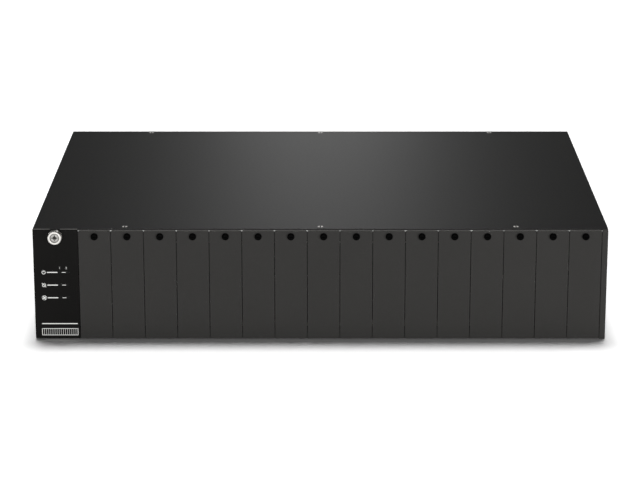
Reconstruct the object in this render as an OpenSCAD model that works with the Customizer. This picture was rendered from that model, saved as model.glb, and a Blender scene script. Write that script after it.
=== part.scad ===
// Media converter chassis, two rack units high: sixteen bays behind blank covers, a status
// module at the left of the front, and two pull-out power supplies and two fans at the rear.
// X runs to the right as seen from the front, Y to the back and Z up, in millimetres.
// The origin lies on the underside, halfway across and halfway along the steel body.

/* [Chassis] */
// Width of the steel body
chassis_w = 440; // [438:1:444]
// Depth of the steel body, from the front face to the rear panel
chassis_d = 320; // [312:1:340]
// Height of the steel body, two rack units less clearance
chassis_h = 88; // [87:0.5:89]
// Thickness of the chassis sheet
sheet_t = 1.2; // [1:0.1:1.4]
// Clearance between sheet parts that fit together
fit_gap = 0.2; // [0.1:0.05:0.3]
// Width of the folded strip at the right end of the front
strip_w = 4.4; // [4:0.05:5.5]
// Radius of that strip's upper corner
strip_corner_r = 1.6; // [0.5:0.1:2.5]
// Height of the lips that turn down along the lid's sides
lid_lip_h = 6; // [4:0.5:7]
// Distance from a side face to the outer lid screws
lid_side_inset = 70; // [66:1:74]
// Distance from the front face to the front row of lid screws
lid_front_inset = 8.2; // [8:0.1:9.5]
// Distance from the rear face to the rear row of lid screws
lid_rear_inset = 4.5; // [4.2:0.1:6]

/* [Bays and covers] */
// Number of converter bays
slot_count = 16; // [14:1:16]
// Thickness of a cover plate
cover_t = 1.5; // [1.2:0.1:1.8]
// Gap between neighbouring cover plates
cover_gap = 0.4; // [0.2:0.05:0.8]
// Step from the chassis top down to a cover's upper edge
cover_drop = 1.2; // [0.8:0.1:2]
// Step from the underside up to a cover's lower edge
cover_lift = 0.6; // [0.4:0.1:0.8]
// Chamfer at a cover's corners
cover_chamfer = 0.8; // [0.3:0.1:1.2]
// Distance from the chassis top down to the row of cover screws
screw_drop = 5.7; // [5.6:0.1:6]
// Width of the tongue at a cover's foot
tongue_w = 12; // [8:0.5:16]
// Reach of that tongue behind the cover
tongue_l = 8; // [4:0.5:10]
// Thickness of a plastic card guide
guide_w = 1.6; // [1.2:0.1:2]
// Height of a plastic card guide
guide_h = 5; // [3:0.5:6]
// Distance from the front face to the backplane board
bay_d = 124; // [118:1:128]

/* [Status module] */
// Width of the status module's panel
status_w = 34.4; // [33:0.2:36]
// Distance between the two columns of lamps
lamp_pitch_x = 5.1; // [4.5:0.1:6]
// Distance between the three rows of lamps
lamp_pitch_z = 10.2; // [8:0.1:11]
// Radius of a lamp's window
lamp_r = 1.3; // [1:0.1:1.6]
// Distance from the middle of the panel to the middle of the lamps
lamp_shift = 5.8; // [4:0.1:6]
// Radius of the panel's lower outer corner
panel_corner_r = 2; // [1:0.1:3]
// Depth of the relief above the thumbscrew
relief_h = 1.3; // [0.8:0.1:1.6]
// Width of the relief above the thumbscrew
relief_w = 8; // [6:0.1:10]

/* [Screws] */
// Radius of a small screw's shank
shank_r = 1.45; // [1.3:0.05:1.5]
// Clearance round a shank in a threaded hole
thread_gap = 0.05; // [0.03:0.01:0.08]
// Clearance under the head of a screw that turns in the part it holds
seat_gap = 0.05; // [0.02:0.01:0.1]
// Radius of a pan head
pan_r = 2.7; // [2.5:0.05:2.9]
// Height of a pan head
pan_h = 2; // [1.6:0.1:2.4]
// Radius of a countersunk head
flat_r = 2.8; // [2.5:0.05:3]
// Radius of a thumbscrew's knob
knob_r = 5.4; // [4.8:0.1:5.6]
// Height of a thumbscrew's knob
knob_h = 5; // [4:0.5:8]
// Radius of the threaded hole for a rack ear's screw
ear_hole_r = 1.65; // [1.5:0.05:2]
// Distance between a rack ear's screws along the side
ear_pitch_y = 30; // [24:1:40]
// Distance between a rack ear's screws up the side
ear_pitch_z = 50; // [46:1:52]

/* [Power supplies] */
// Reach of a power supply's faceplate past each side of its case
psu_lip_w = 11; // [10.8:0.1:12]
// Room left above and below a power supply's case
psu_room_h = 6; // [6:0.1:7]
// Sheet thickness of a power supply's case
psu_t = 1; // [0.8:0.1:1.2]
// Thickness of a power supply's faceplate
face_t = 1.5; // [1.2:0.1:2]
// Gap beside the handle, to the thumbscrew's knob and to the inlet
handle_side_gap = 6.5; // [6:0.5:12]
// Distance from the faceplate to the middle of the handle's bar
handle_reach = 22; // [20:1:30]
// Radius of the handle's rod
handle_r = 3; // [2.5:0.1:4]
// Rocking angle of the mains switch, from off to on
rocker_swing = 16; // [10:1:18]

/* [Fans] */
// Side of a fan's square frame
fan_w = 60; // [58:1:62]
// Depth of a fan's frame
fan_d = 25; // [24:0.5:30]
// Gap between the two fans' frames
fan_gap = 8; // [6:0.5:10]
// Thinnest wall of a fan's duct
duct_wall = 1.6; // [1.6:0.1:3]
// Number of blades
blade_count = 7; // [5:1:9]

/* [Hidden] */
$fn = 48;
cut = 0.2; // overrun of every cut past the face that it opens

front_y = -chassis_d / 2;
rear_y = chassis_d / 2;
side_x = chassis_w / 2;
wall_x = side_x - sheet_t;
lid_z = chassis_h - sheet_t;
mid_z = chassis_h / 2;
rail_y = front_y + cover_t;
screw_z = chassis_h - screw_drop;
hole_r = shank_r + thread_gap;
pass_gap = 0.3;
pass_r = shank_r + pass_gap;
nut_r = 2.7;
nut_l = 2.2;
flange_l = 12;
flange_end_y = rail_y + flange_l;
lid_screw_x = side_x - lid_side_inset;

// Rails, guide plates and the two walls across the chassis
lower_rail_h = 5;
shelf_z = sheet_t + lower_rail_h;
upper_rail_h = 8.6;
ceiling_z = lid_z - upper_rail_h;
tab_l = 11;
tab_y = flange_end_y + tab_l / 2;
tab_h = 6;
board_t = 1.6;
board_y = front_y + bay_d;
board_foot_z = 14;
board_head_gap = 18.2;
board_top_z = ceiling_z - board_head_gap;
spacer_l = 5.4;
spacer_r = 2.5;
bulkhead_y = board_y + board_t + spacer_l;
bulkhead_back_y = bulkhead_y + sheet_t;
plate_front_y = flange_end_y;
plate_back_y = bulkhead_y;
plate_side_x = wall_x - sheet_t - 3 * fit_gap;
plate_flange_h = 5;
vent_w = 12;
vent_end_gap = 14;
guide_y = plate_front_y;
guide_end_gap = 10.5;
guide_l = board_y - guide_end_gap - guide_y;
window_w = 18;
window_h = 12;
window_z = board_top_z + 3 * sheet_t;

// The slot covers and what stands behind them
slot_pitch = (chassis_w - strip_w - status_w - cover_gap) / slot_count;
function seam_x(k) = side_x - strip_w - cover_gap / 2 - (slot_count - k) * slot_pitch;
function slot_x(i) = seam_x(i) - slot_pitch / 2;
function seam_near(share) = seam_x(round(share * slot_count));
cover_w = slot_pitch - cover_gap;
cover_top_z = chassis_h - cover_drop;
tongue_t = 1.2;
tongue_z = 2.8;
plug_w = 9;
plug_h = 11;
plug_l = 10;
plug_z = 20;
barrel_r = 2.75;
barrel_l = 9;
barrel_bore_r = 1.05;
barrel_bore_l = 8;
lower_screw_shares = [0.1875, 0.5, 0.8125];
spacer_shares = [0.0625, 0.375, 0.625, 0.9375];
spacer_edge_gap = 4;

// The status module
panel_x0 = -side_x;
panel_x1 = seam_x(0) - cover_gap / 2;
panel_mid_x = (panel_x0 + panel_x1) / 2;
panel_foot_z = cover_lift;
lamp_x = panel_mid_x + lamp_shift;
lamp_z = mid_z - 0.4 * sheet_t;
lamp_gap = 0.1;
lamp_sink = 0.2;
status_shift = 7;
status_x = panel_mid_x - status_shift;
guide_base_t = 1.2;
guide_groove_gap = 0.2;
status_board_foot_z = shelf_z + guide_base_t + guide_groove_gap;
status_board_top_z = ceiling_z - guide_base_t - guide_groove_gap;
bracket_l = 10;
bracket_w = 5;
bracket_h = 10;
bracket_edge_gap = 5;
carrier_front_gap = 3;
carrier_l = 10;
carrier_margin = 3;
edge_socket_w = 8;
edge_socket_l = 12;
edge_socket_z = 24;
edge_socket_gap = 8;
edge_socket_h = board_top_z - edge_socket_z - edge_socket_gap;
edge_insert_l = 7;
edge_gap = 0.15;
chip_places_share = [[0.30, 0.30], [0.30, 0.65], [0.55, 0.45], [0.78, 0.30]];
chip_side = 12;
chip_t = 2;

// Places across the rear, from the fans in the middle to the power supplies beside them
fan_pitch = fan_w + fan_gap;
duct_r = fan_w / 2 - duct_wall;
ground_gap_x = 12;
ground_x = fan_pitch / 2 + fan_w / 2 + ground_gap_x;
ground_face_gap = 13;

// Power supplies
psu_edge_gap = 9;
face_w = side_x - psu_edge_gap - ground_x - ground_face_gap;
psu_w = face_w - 2 * psu_lip_w;
psu_h = chassis_h - 2 * psu_room_h;
psu_mid_x = side_x - psu_edge_gap - face_w / 2;
psu_space = 24;
psu_front_y = bulkhead_back_y + psu_space;
psu_foot_z = mid_z - psu_h / 2;
psu_top_z = mid_z + psu_h / 2;
psu_cut_gap = 1;
face_h = chassis_h - 4 * sheet_t - 2 * fit_gap;
face_corner_r = 2;
face_back_y = rear_y + face_t;
psu_screw_x = -face_w / 2 + knob_r + psu_t;
psu_screw_z = mid_z + face_h / 2 - knob_r - 3 * psu_t;
psu_stud_r = 2.5;
psu_stud_h = 5;
psu_stud_inset = 6;
psu_board_z = psu_foot_z + psu_t + psu_stud_h;
psu_board_gap = 4;
dock_w = 36;
dock_wall = 4;
dock_l = 16;
dock_h = 12;
dock_slot_l = 10;
dock_insert_l = 8;
dock_y = bulkhead_back_y + dock_l;
psu_board_x = psu_w / 2 - psu_t - psu_board_gap;
psu_board_y0 = psu_front_y + psu_t + fit_gap;
rail_wall_h = 8;
rail_run = 8;
inlet_w = 27.2;
inlet_side_gap = 2.4;
inlet_x = psu_w / 2 - psu_t - inlet_side_gap - inlet_w / 2;
inlet_h = 46.4;
inlet_body_l = 22;
inlet_flange_t = 2.5;
inlet_flange_w = 31;
inlet_flange_h = 50;
inlet_corner_r = 2;
psu_board_y1 = face_back_y - inlet_body_l - psu_board_gap;
socket_w = 24.4;
socket_h = 16.6;
socket_chamfer = 5;
socket_d = 18;
socket_fall = 11;
socket_z = mid_z - socket_fall;
pin_w = 2;
pin_h = 4;
pin_pitch = 7;
pin_stagger = 1.8;
pin_tip_gap = 5;
rocker_rise = 12;
rocker_z = mid_z + rocker_rise;
rocker_w = 12.6;
rocker_h = 18.2;
rocker_gap = 0.4;
rocker_end_gap = 0.9;
rocker_well_d = 12;
rocker_out = 4.2;
rocker_dip = 2.8;
rocker_in = 3;
rocker_taper = 0.4;
rocker_axle_r = 1.4;
rocker_axle_sink = 0.9;
rocker_axle_d = 3;
rocker_axle_y = face_back_y + inlet_flange_t - rocker_axle_d;
handle_x0 = psu_screw_x + knob_r + handle_side_gap;
handle_x1 = inlet_x - inlet_flange_w / 2 - handle_side_gap;
handle_w = handle_x1 - handle_x0;
handle_x = (handle_x0 + handle_x1) / 2;
handle_rise = 18;
handle_z = mid_z + handle_rise;
handle_bend_r = 8;
handle_foot_r = 5;
handle_foot_t = 2;
face_vent_w = 3;
face_vent_h = 32;
face_vent_pitch = 6;
face_vent_inset = 10;
face_vent_x0 = face_vent_inset - face_w / 2;
face_vent_x1 = inlet_x - inlet_flange_w / 2 - face_vent_inset;
face_vent_count = floor((face_vent_x1 - face_vent_x0) / face_vent_pitch);
face_vent_fall = 16;
face_vent_z = mid_z - face_vent_fall;
lid_vent_count = 9;
lid_vent_w = 4;
lid_vent_inset = 20;
lid_vent_h = psu_w - 2 * lid_vent_inset;
lid_vent_pitch = 14;

// Fans
fan_front_y = rear_y - sheet_t - fan_d;
fan_corner_r = 3;
fan_hole_pitch_share = 50 / 60;
fan_hole_at = fan_w * fan_hole_pitch_share / 2;
fan_hole_reach = norm([fan_hole_at, fan_hole_at]);
fan_hole_r = 2.15;
motor_r = 13;
motor_t = 3.5;
strut_w = 3;
strut_count = 4;
bearing_r = 4;
bearing_l = 10;
axle_r = 1.5;
axle_gap = 0.05;
hub_r = 14;
hub_wall = 1.5;
hub_front_gap = 1.5;
hub_back_gap = 1.8;
hub_y = fan_front_y + motor_t + hub_front_gap;
hub_end_y = rear_y - sheet_t - hub_back_gap;
blade_gap = 1.2;
blade_t = 1.2;
blade_bow_r = 26;
blade_pitch = 38;
blade_inset = 1.2;
guard_wire_r = 0.8;
guard_ring_shares = [0.38, 0.66, 0.94];
guard_eye_r = 4;
guard_eye_t = 1.2;
fan_screw_r = 1.8;
fan_screw_head_r = 3;
guard_wire_end = fan_hole_reach - fan_screw_head_r - pass_gap;
fan_screw_head_h = 1.8;
fan_screw_l = 9;
lead_r = 1.5;
lead_x_share = 0.33;
lead_z_share = 0.45;
lead_floor_gap = 0.6;
lead_ramp_l = 22;
lead_rings = 64;
lead_sides = 8;
header_w = 9;
header_l = 8;
header_h = 8;

// Vents, ears and the ground screw
side_vent_w = 3.2;
side_vent_h = 16;
side_vent_pitch = 7;
side_vent_count = 12;
side_vent_rows = 2;
side_vent_row_pitch = 26;
side_vent_inset = 62;
ear_inset = 20;
ear_nut_r = 3.4;
ear_nut_l = 2.3;
ground_z = 14;
ground_r = 1.95;
ground_head_r = 3.8;
ground_head_h = 2.6;
ground_washer_r = 4.8;
ground_washer_t = 0.8;
ground_l = 8;

function cover_name(i) = str("slot_cover_", i < 10 ? "0" : "", i);

// Shapes that repeat

// A block between two opposite corners
module block(low, high) {
    translate(low) cube(high - low);
}

// A round bar along Y, from y0 to y1
module rod_y(r, y0, y1) {
    translate([0, y0, 0]) rotate([-90, 0, 0]) cylinder(r = r, h = y1 - y0);
}

// A round bar along X, from x0 to x1
module rod_x(r, x0, x1) {
    translate([x0, 0, 0]) rotate([0, 90, 0]) cylinder(r = r, h = x1 - x0);
}

// A round bar along Z, from z0 to z1
module rod_z(r, z0, z1) {
    translate([0, 0, z0]) cylinder(r = r, h = z1 - z0);
}

module rounded_rect(w, h, r) {
    square([w - 2 * r, h], center = true);
    square([w, h - 2 * r], center = true);
    for (sx = [-1, 1], sz = [-1, 1])
        translate([sx * (w / 2 - r), sz * (h / 2 - r)]) circle(r = r);
}

// A flat outline in X and Z, given thickness from y0 to y1
module slab_y(y0, y1) {
    translate([0, y1, 0]) rotate([90, 0, 0]) linear_extrude(y1 - y0) children();
}

// A flat outline in Y and Z, given thickness from x0 to x1
module slab_x(x0, x1) {
    translate([x0, 0, 0]) rotate([90, 0, 90]) linear_extrude(x1 - x0) children();
}

// A cross recess sunk into a head whose face lies at z = 0
module cross_recess(reach, depth, width) {
    for (turn = [0, 90])
        rotate([0, 0, turn]) translate([-reach, -width / 2, -depth])
            cube([2 * reach, width, depth + cut]);
}

// A pan-head screw along Z: its seat lies just above z = 0 and its shank runs down
module pan_screw(head_r, head_h, r, l) {
    crown = head_h / 3;
    difference() {
        union() {
            rod_z(head_r, seat_gap, head_h - crown);
            translate([0, 0, head_h - crown])
                cylinder(r1 = head_r, r2 = head_r - crown, h = crown);
            rod_z(r, -l, seat_gap);
        }
        translate([0, 0, head_h]) cross_recess(head_r * 0.6, head_h * 0.6, head_r * 0.24);
    }
}

// A countersunk screw along Z: its face lies at z = 0 and its shank runs down
module flat_screw(l) {
    difference() {
        union() {
            translate([0, 0, -sheet_t])
                cylinder(r1 = shank_r, r2 = flat_r, h = sheet_t);
            rod_z(shank_r, -l, -sheet_t);
        }
        cross_recess(flat_r * 0.6, sheet_t * 0.6, flat_r * 0.2);
    }
}

// The hole that a countersunk screw's head sits in
module flat_screw_hole() {
    translate([0, 0, -sheet_t])
        cylinder(r1 = shank_r + seat_gap, r2 = flat_r + seat_gap, h = sheet_t);
    rod_z(hole_r, -sheet_t - cut, cut);
    rod_z(flat_r + seat_gap, 0, cut);
}

// A clinch nut along Z, standing up from z = 0
module clinch_nut() {
    rod_z(nut_r, 0, nut_l);
}

// Turns a shape made along Z to face the front, the back or the sides
module face_front() {
    rotate([90, 0, 0]) children();
}

module face_back() {
    rotate([-90, 0, 0]) children();
}

module face_right(side) {
    rotate([0, 90 * side, 0]) children();
}

// A captive thumbscrew along Z: its knob sits on z = 0 and its shank runs down by l
module thumbscrew(l) {
    rim = knob_r * 0.36;
    dish = knob_h * 0.12;
    groove_r = knob_r * 0.07;
    grooves = 24;
    bevel = knob_r * 0.09;
    difference() {
        union() {
            rod_z(knob_r, 0, knob_h - bevel);
            translate([0, 0, knob_h - bevel])
                cylinder(r1 = knob_r, r2 = knob_r - bevel, h = bevel);
            rod_z(shank_r, -l, 0);
        }
        translate([0, 0, knob_h - dish]) cylinder(r = knob_r - rim, h = dish + cut);
        translate([0, 0, knob_h - dish]) cross_recess(knob_r * 0.45, knob_h * 0.4, knob_r * 0.17);
        for (k = [0 : grooves - 1])
            rotate([0, 0, k * 360 / grooves]) translate([knob_r, 0, knob_h * 0.2])
                cylinder(r = groove_r, h = knob_h);
    }
}

// Steel body

module side_vents() {
    span = (side_vent_count - 1) * side_vent_pitch;
    for (row = [0 : side_vent_rows - 1], k = [0 : side_vent_count - 1])
        translate([front_y + side_vent_inset + k * side_vent_pitch,
                   mid_z + (row - (side_vent_rows - 1) / 2) * side_vent_row_pitch])
            rounded_rect(side_vent_w, side_vent_h, side_vent_w / 2 * 0.98);
}

module at_ear_holes() {
    for (side = [-1, 1], a = [0, 1], b = [-1, 1])
        translate([side * wall_x, front_y + ear_inset + a * ear_pitch_y,
                   mid_z + b * ear_pitch_z / 2])
            face_right(side) children();
}

module base_tray() {
    color("#343331") difference() {
        union() {
            block([-side_x, rail_y, 0], [side_x, rear_y, sheet_t]);
            block([-side_x, rail_y, 0], [-wall_x, rear_y, lid_z]);
            block([wall_x, front_y, 0], [side_x, rear_y, lid_z]);
            block([side_x - strip_w, front_y, 0], [side_x, front_y + sheet_t,
                  chassis_h - strip_corner_r]);
            block([side_x - strip_w, front_y, 0], [side_x - strip_corner_r,
                  front_y + sheet_t, chassis_h]);
            translate([side_x - strip_corner_r, 0, chassis_h - strip_corner_r])
                rod_y(strip_corner_r, front_y, front_y + sheet_t);
            at_ear_holes() rod_z(ear_nut_r, -ear_nut_l, 0);
        }
        at_ear_holes() rod_z(ear_hole_r, -ear_nut_l - cut, sheet_t + cut);
        slab_x(-side_x - cut, side_x + cut) side_vents();
        at_floor_screws() flat_screw_hole();
        at_side_screws() flat_screw_hole();
    }
}

// Screws that come up through the floor, with their faces on the underside
module at_floor_screws() {
    for (share = lower_screw_shares)
        translate([seam_near(share), rail_y + flange_l / 2, 0])
            rotate([180, 0, 0]) children();
    for (k = [-1 : 1])
        translate([k * lid_screw_x, rear_y - sheet_t - flange_l / 2, 0])
            rotate([180, 0, 0]) children();
}

// Screws through the side walls, into the ends of the upper front rail
module at_side_screws() {
    for (side = [-1, 1])
        translate([side * side_x, tab_y, lid_z - tab_h / 2]) face_right(side) children();
}

module at_lid_screws() {
    for (k = [-1 : 1], y = [front_y + lid_front_inset, rear_y - lid_rear_inset])
        translate([k * lid_screw_x, y, chassis_h]) children();
}

lid_front_y = front_y + max(cover_t, sheet_t) + fit_gap;
lid_lip_end = 30;

module top_cover() {
    lip_x = wall_x - fit_gap;
    color("#343331") difference() {
        union() {
            block([-side_x, lid_front_y, lid_z], [side_x, rear_y, chassis_h]);
            for (side = [-1, 1])
                block([side > 0 ? lip_x - sheet_t : -lip_x, front_y + lid_lip_end,
                       lid_z - lid_lip_h],
                      [side > 0 ? lip_x : sheet_t - lip_x, rear_y - lid_lip_end, lid_z]);
        }
        at_lid_screws() flat_screw_hole();
    }
}

module top_cover_screws() {
    color("silver") at_lid_screws() flat_screw(sheet_t * 2 + nut_l);
}

module frame_screws() {
    color("#1c1c1c") {
        at_floor_screws() flat_screw(sheet_t * 2 + nut_l);
        at_side_screws() flat_screw(sheet_t * 2 + nut_l);
    }
}

// Front rails

module at_cover_screws(y) {
    for (i = [1 : slot_count])
        translate([slot_x(i), y, screw_z]) children();
}

module at_all_front_screws(y) {
    at_cover_screws(y) children();
    translate([panel_mid_x, y, screw_z]) children();
}

module upper_front_rail() {
    web_y = rail_y + sheet_t;
    color("#8d9091") difference() {
        union() {
            block([-wall_x, rail_y, ceiling_z], [wall_x, web_y, lid_z]);
            block([-wall_x, rail_y, lid_z - sheet_t], [wall_x, flange_end_y, lid_z]);
            block([-wall_x, rail_y, ceiling_z], [wall_x, flange_end_y, ceiling_z + sheet_t]);
            for (side = [-1, 1])
                block([side > 0 ? wall_x - sheet_t : -wall_x, flange_end_y - sheet_t,
                       lid_z - tab_h],
                      [side > 0 ? wall_x : sheet_t - wall_x, flange_end_y + tab_l, lid_z]);
            at_all_front_screws(web_y) face_back() clinch_nut();
            for (k = [-1 : 1])
                translate([k * lid_screw_x, front_y + lid_front_inset,
                           lid_z - sheet_t - nut_l])
                    clinch_nut();
            for (side = [-1, 1])
                translate([side * (wall_x - sheet_t), tab_y, lid_z - tab_h / 2])
                    face_right(-side) clinch_nut();
        }
        at_all_front_screws(rail_y - cut) face_back() rod_z(hole_r, 0, cut + sheet_t + nut_l + cut);
        for (k = [-1 : 1])
            translate([k * lid_screw_x, front_y + lid_front_inset, lid_z])
                rod_z(hole_r, -sheet_t - nut_l - cut, cut);
        for (side = [-1, 1])
            translate([side * wall_x, tab_y, lid_z - tab_h / 2])
                face_right(-side) rod_z(hole_r, -cut, sheet_t + nut_l + cut);
    }
}

module lower_front_rail() {
    web_y = rail_y + sheet_t;
    color("#8d9091") difference() {
        union() {
            block([-wall_x, rail_y, sheet_t], [wall_x, web_y, shelf_z]);
            block([-wall_x, rail_y, sheet_t], [wall_x, flange_end_y, 2 * sheet_t]);
            block([-wall_x, rail_y, shelf_z - sheet_t], [wall_x, flange_end_y, shelf_z]);
            for (share = lower_screw_shares)
                translate([seam_near(share), rail_y + flange_l / 2, 2 * sheet_t])
                    clinch_nut();
        }
        for (share = lower_screw_shares)
            translate([seam_near(share), rail_y + flange_l / 2, 0])
                rod_z(hole_r, 0, 2 * sheet_t + nut_l + cut);
        for (i = [1 : slot_count])
            block([slot_x(i) - tongue_w / 2 - fit_gap, rail_y - cut, tongue_z - fit_gap],
                  [slot_x(i) + tongue_w / 2 + fit_gap, web_y + cut,
                   tongue_z + tongue_t + fit_gap]);
    }
}

// Card cage

module bay_vents(z0, z1) {
    for (i = [1 : slot_count])
        block([slot_x(i) - vent_w / 2, plate_front_y + vent_end_gap, z0 - cut],
              [slot_x(i) + vent_w / 2, board_y - vent_end_gap, z1 + cut]);
}

module upper_guide_plate() {
    top_z = ceiling_z + sheet_t;
    color("#8d9091") difference() {
        union() {
            block([-plate_side_x, plate_front_y, ceiling_z],
                  [plate_side_x, plate_back_y, top_z]);
            for (side = [-1, 1])
                block([side > 0 ? plate_side_x - sheet_t : -plate_side_x,
                       plate_front_y + tab_l + nut_l, ceiling_z],
                      [side > 0 ? plate_side_x : sheet_t - plate_side_x,
                       plate_back_y, top_z + plate_flange_h]);
        }
        bay_vents(ceiling_z, top_z);
    }
}

module lower_guide_plate() {
    color("#8d9091") difference() {
        union() {
            block([-plate_side_x, plate_front_y, shelf_z - sheet_t],
                  [plate_side_x, plate_back_y, shelf_z]);
            for (side = [-1, 1])
                block([side > 0 ? plate_side_x - sheet_t : -plate_side_x,
                       plate_front_y, sheet_t],
                      [side > 0 ? plate_side_x : sheet_t - plate_side_x,
                       plate_back_y, shelf_z]);
        }
        bay_vents(shelf_z - sheet_t, shelf_z);
    }
}

// A pair of plastic guides for one edge of the status board
module board_guide(foot_z, up) {
    half = board_t / 2 + guide_groove_gap + guide_base_t;
    translate([status_x, 0, foot_z]) scale([1, 1, up]) difference() {
        block([-half, guide_y, 0], [half, guide_y + guide_l, guide_h]);
        block([-board_t / 2 - guide_groove_gap, guide_y - cut, guide_base_t],
              [board_t / 2 + guide_groove_gap, guide_y + guide_l + cut, guide_h + cut]);
    }
}

module card_guides() {
    color("#d9d8d0") {
        for (k = [0 : slot_count]) {
            block([seam_x(k) - guide_w / 2, guide_y, shelf_z],
                  [seam_x(k) + guide_w / 2, guide_y + guide_l, shelf_z + guide_h]);
            block([seam_x(k) - guide_w / 2, guide_y, ceiling_z - guide_h],
                  [seam_x(k) + guide_w / 2, guide_y + guide_l, ceiling_z]);
        }
        board_guide(shelf_z, 1);
        board_guide(ceiling_z, -1);
    }
}

module bulkhead() {
    color("#8d9091") difference() {
        union() {
            block([-plate_side_x, bulkhead_y, sheet_t],
                  [plate_side_x, bulkhead_back_y, lid_z - fit_gap]);
            block([-plate_side_x, bulkhead_y, sheet_t],
                  [plate_side_x, bulkhead_back_y + flange_l / 2, 2 * sheet_t]);
        }
        for (i = [1 : slot_count])
            block([slot_x(i) - window_w / 2, bulkhead_y - cut, window_z],
                  [slot_x(i) + window_w / 2, bulkhead_back_y + cut, window_z + window_h]);
        at_spacers() rod_y(hole_r, bulkhead_y - cut, bulkhead_back_y + cut);
    }
}

module at_spacers() {
    for (share = spacer_shares,
         z = [board_foot_z + spacer_edge_gap, board_top_z - spacer_edge_gap])
        translate([seam_near(share), 0, z]) children();
}

module backplane_board() {
    color("#1d5a34") difference() {
        block([-plate_side_x, board_y, board_foot_z],
              [plate_side_x, board_y + board_t, board_top_z]);
        at_spacers() rod_y(pass_r, board_y - cut, board_y + board_t + cut);
    }
}

// Tubes that hold the board off the bulkhead, and the screws through them
module backplane_spacers() {
    color("silver") at_spacers() {
        difference() {
            rod_y(spacer_r, board_y + board_t, bulkhead_y);
            rod_y(hole_r, board_y + board_t - cut, bulkhead_y + cut);
        }
        translate([0, board_y, 0]) face_front()
            pan_screw(pan_r, pan_h, shank_r, bulkhead_back_y - board_y);
    }
}

module slot_power_plugs() {
    color("#1c1c1c") for (i = [1 : slot_count])
        translate([slot_x(i), 0, 0]) difference() {
            union() {
                block([-plug_w / 2, board_y - plug_l, plug_z],
                      [plug_w / 2, board_y, plug_z + plug_h]);
                translate([0, 0, plug_z + plug_h / 2])
                    rod_y(barrel_r, board_y - plug_l - barrel_l, board_y - plug_l);
            }
            translate([0, 0, plug_z + plug_h / 2])
                rod_y(barrel_bore_r, board_y - plug_l - barrel_l - cut,
                      board_y - plug_l - barrel_l + barrel_bore_l);
        }
}

module dock_sockets() {
    slot_x0 = dock_w / 2 + edge_gap;
    block_x = dock_w / 2 + dock_wall;
    mid = psu_board_z + board_t / 2;
    color("#26282a") {
        for (side = [-1, 1]) translate([side * psu_mid_x, 0, 0]) difference() {
            block([-block_x, bulkhead_back_y, mid - dock_h / 2],
                  [block_x, dock_y, mid + dock_h / 2]);
            block([-slot_x0, dock_y - dock_slot_l, psu_board_z - edge_gap],
                  [slot_x0, dock_y + cut, psu_board_z + board_t + edge_gap]);
        }
        translate([status_x, 0, 0]) difference() {
            block([-edge_socket_w / 2, board_y - edge_socket_l, edge_socket_z],
                  [edge_socket_w / 2, board_y, edge_socket_z + edge_socket_h]);
            block([-board_t / 2 - edge_gap, board_y - edge_socket_l - cut,
                   edge_socket_z + edge_gap + sheet_t],
                  [board_t / 2 + edge_gap, board_y - edge_socket_l + edge_insert_l + edge_gap,
                   edge_socket_z + edge_socket_h - sheet_t - edge_gap]);
        }
    }
}

// Rear panel and what it carries

module rear_panel() {
    panel_y = rear_y - sheet_t;
    flange_y = panel_y - flange_l;
    color("#343331") difference() {
        union() {
            block([-wall_x, panel_y, sheet_t], [wall_x, rear_y, lid_z]);
            block([-wall_x + sheet_t + fit_gap, flange_y, lid_z - sheet_t],
                  [wall_x - sheet_t - fit_gap, panel_y, lid_z]);
            block([-wall_x, flange_y, sheet_t], [wall_x, panel_y, 2 * sheet_t]);
            for (k = [-1 : 1]) {
                translate([k * lid_screw_x, rear_y - lid_rear_inset,
                           lid_z - sheet_t - nut_l])
                    clinch_nut();
                translate([k * lid_screw_x, panel_y - flange_l / 2, 2 * sheet_t])
                    clinch_nut();
            }
            for (n = [1, 2])
                translate([psu_x(n) + psu_screw_x, panel_y, psu_screw_z])
                    face_front() clinch_nut();
        }
        for (k = [-1 : 1]) {
            translate([k * lid_screw_x, rear_y - lid_rear_inset, lid_z])
                rod_z(hole_r, -sheet_t - nut_l - cut, cut);
            translate([k * lid_screw_x, panel_y - flange_l / 2, 0])
                rod_z(hole_r, 0, 2 * sheet_t + nut_l + cut);
        }
        for (n = [1, 2]) {
            translate([psu_x(n) + psu_screw_x, 0, psu_screw_z])
                rod_y(hole_r, panel_y - nut_l - cut, rear_y + cut);
            block([psu_x(n) - psu_w / 2 - psu_cut_gap, panel_y - cut, psu_foot_z - psu_cut_gap],
                  [psu_x(n) + psu_w / 2 + psu_cut_gap, rear_y + cut, psu_top_z + psu_cut_gap]);
        }
        for (n = [1, 2]) translate([fan_x(n), 0, mid_z]) {
            rod_y(duct_r, panel_y - cut, rear_y + cut);
            at_fan_corners() rod_y(fan_screw_r + thread_gap, panel_y - cut, rear_y + cut);
        }
        translate([ground_x, 0, ground_z]) rod_y(ground_r + thread_gap, panel_y - cut, rear_y + cut);
    }
}

function fan_x(n) = (n == 1 ? -1 : 1) * fan_pitch / 2;
function psu_x(n) = (n == 1 ? -1 : 1) * psu_mid_x;

module at_fan_corners() {
    for (sx = [-1, 1], sz = [-1, 1])
        translate([sx * fan_hole_at, 0, sz * fan_hole_at]) children();
}

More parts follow.
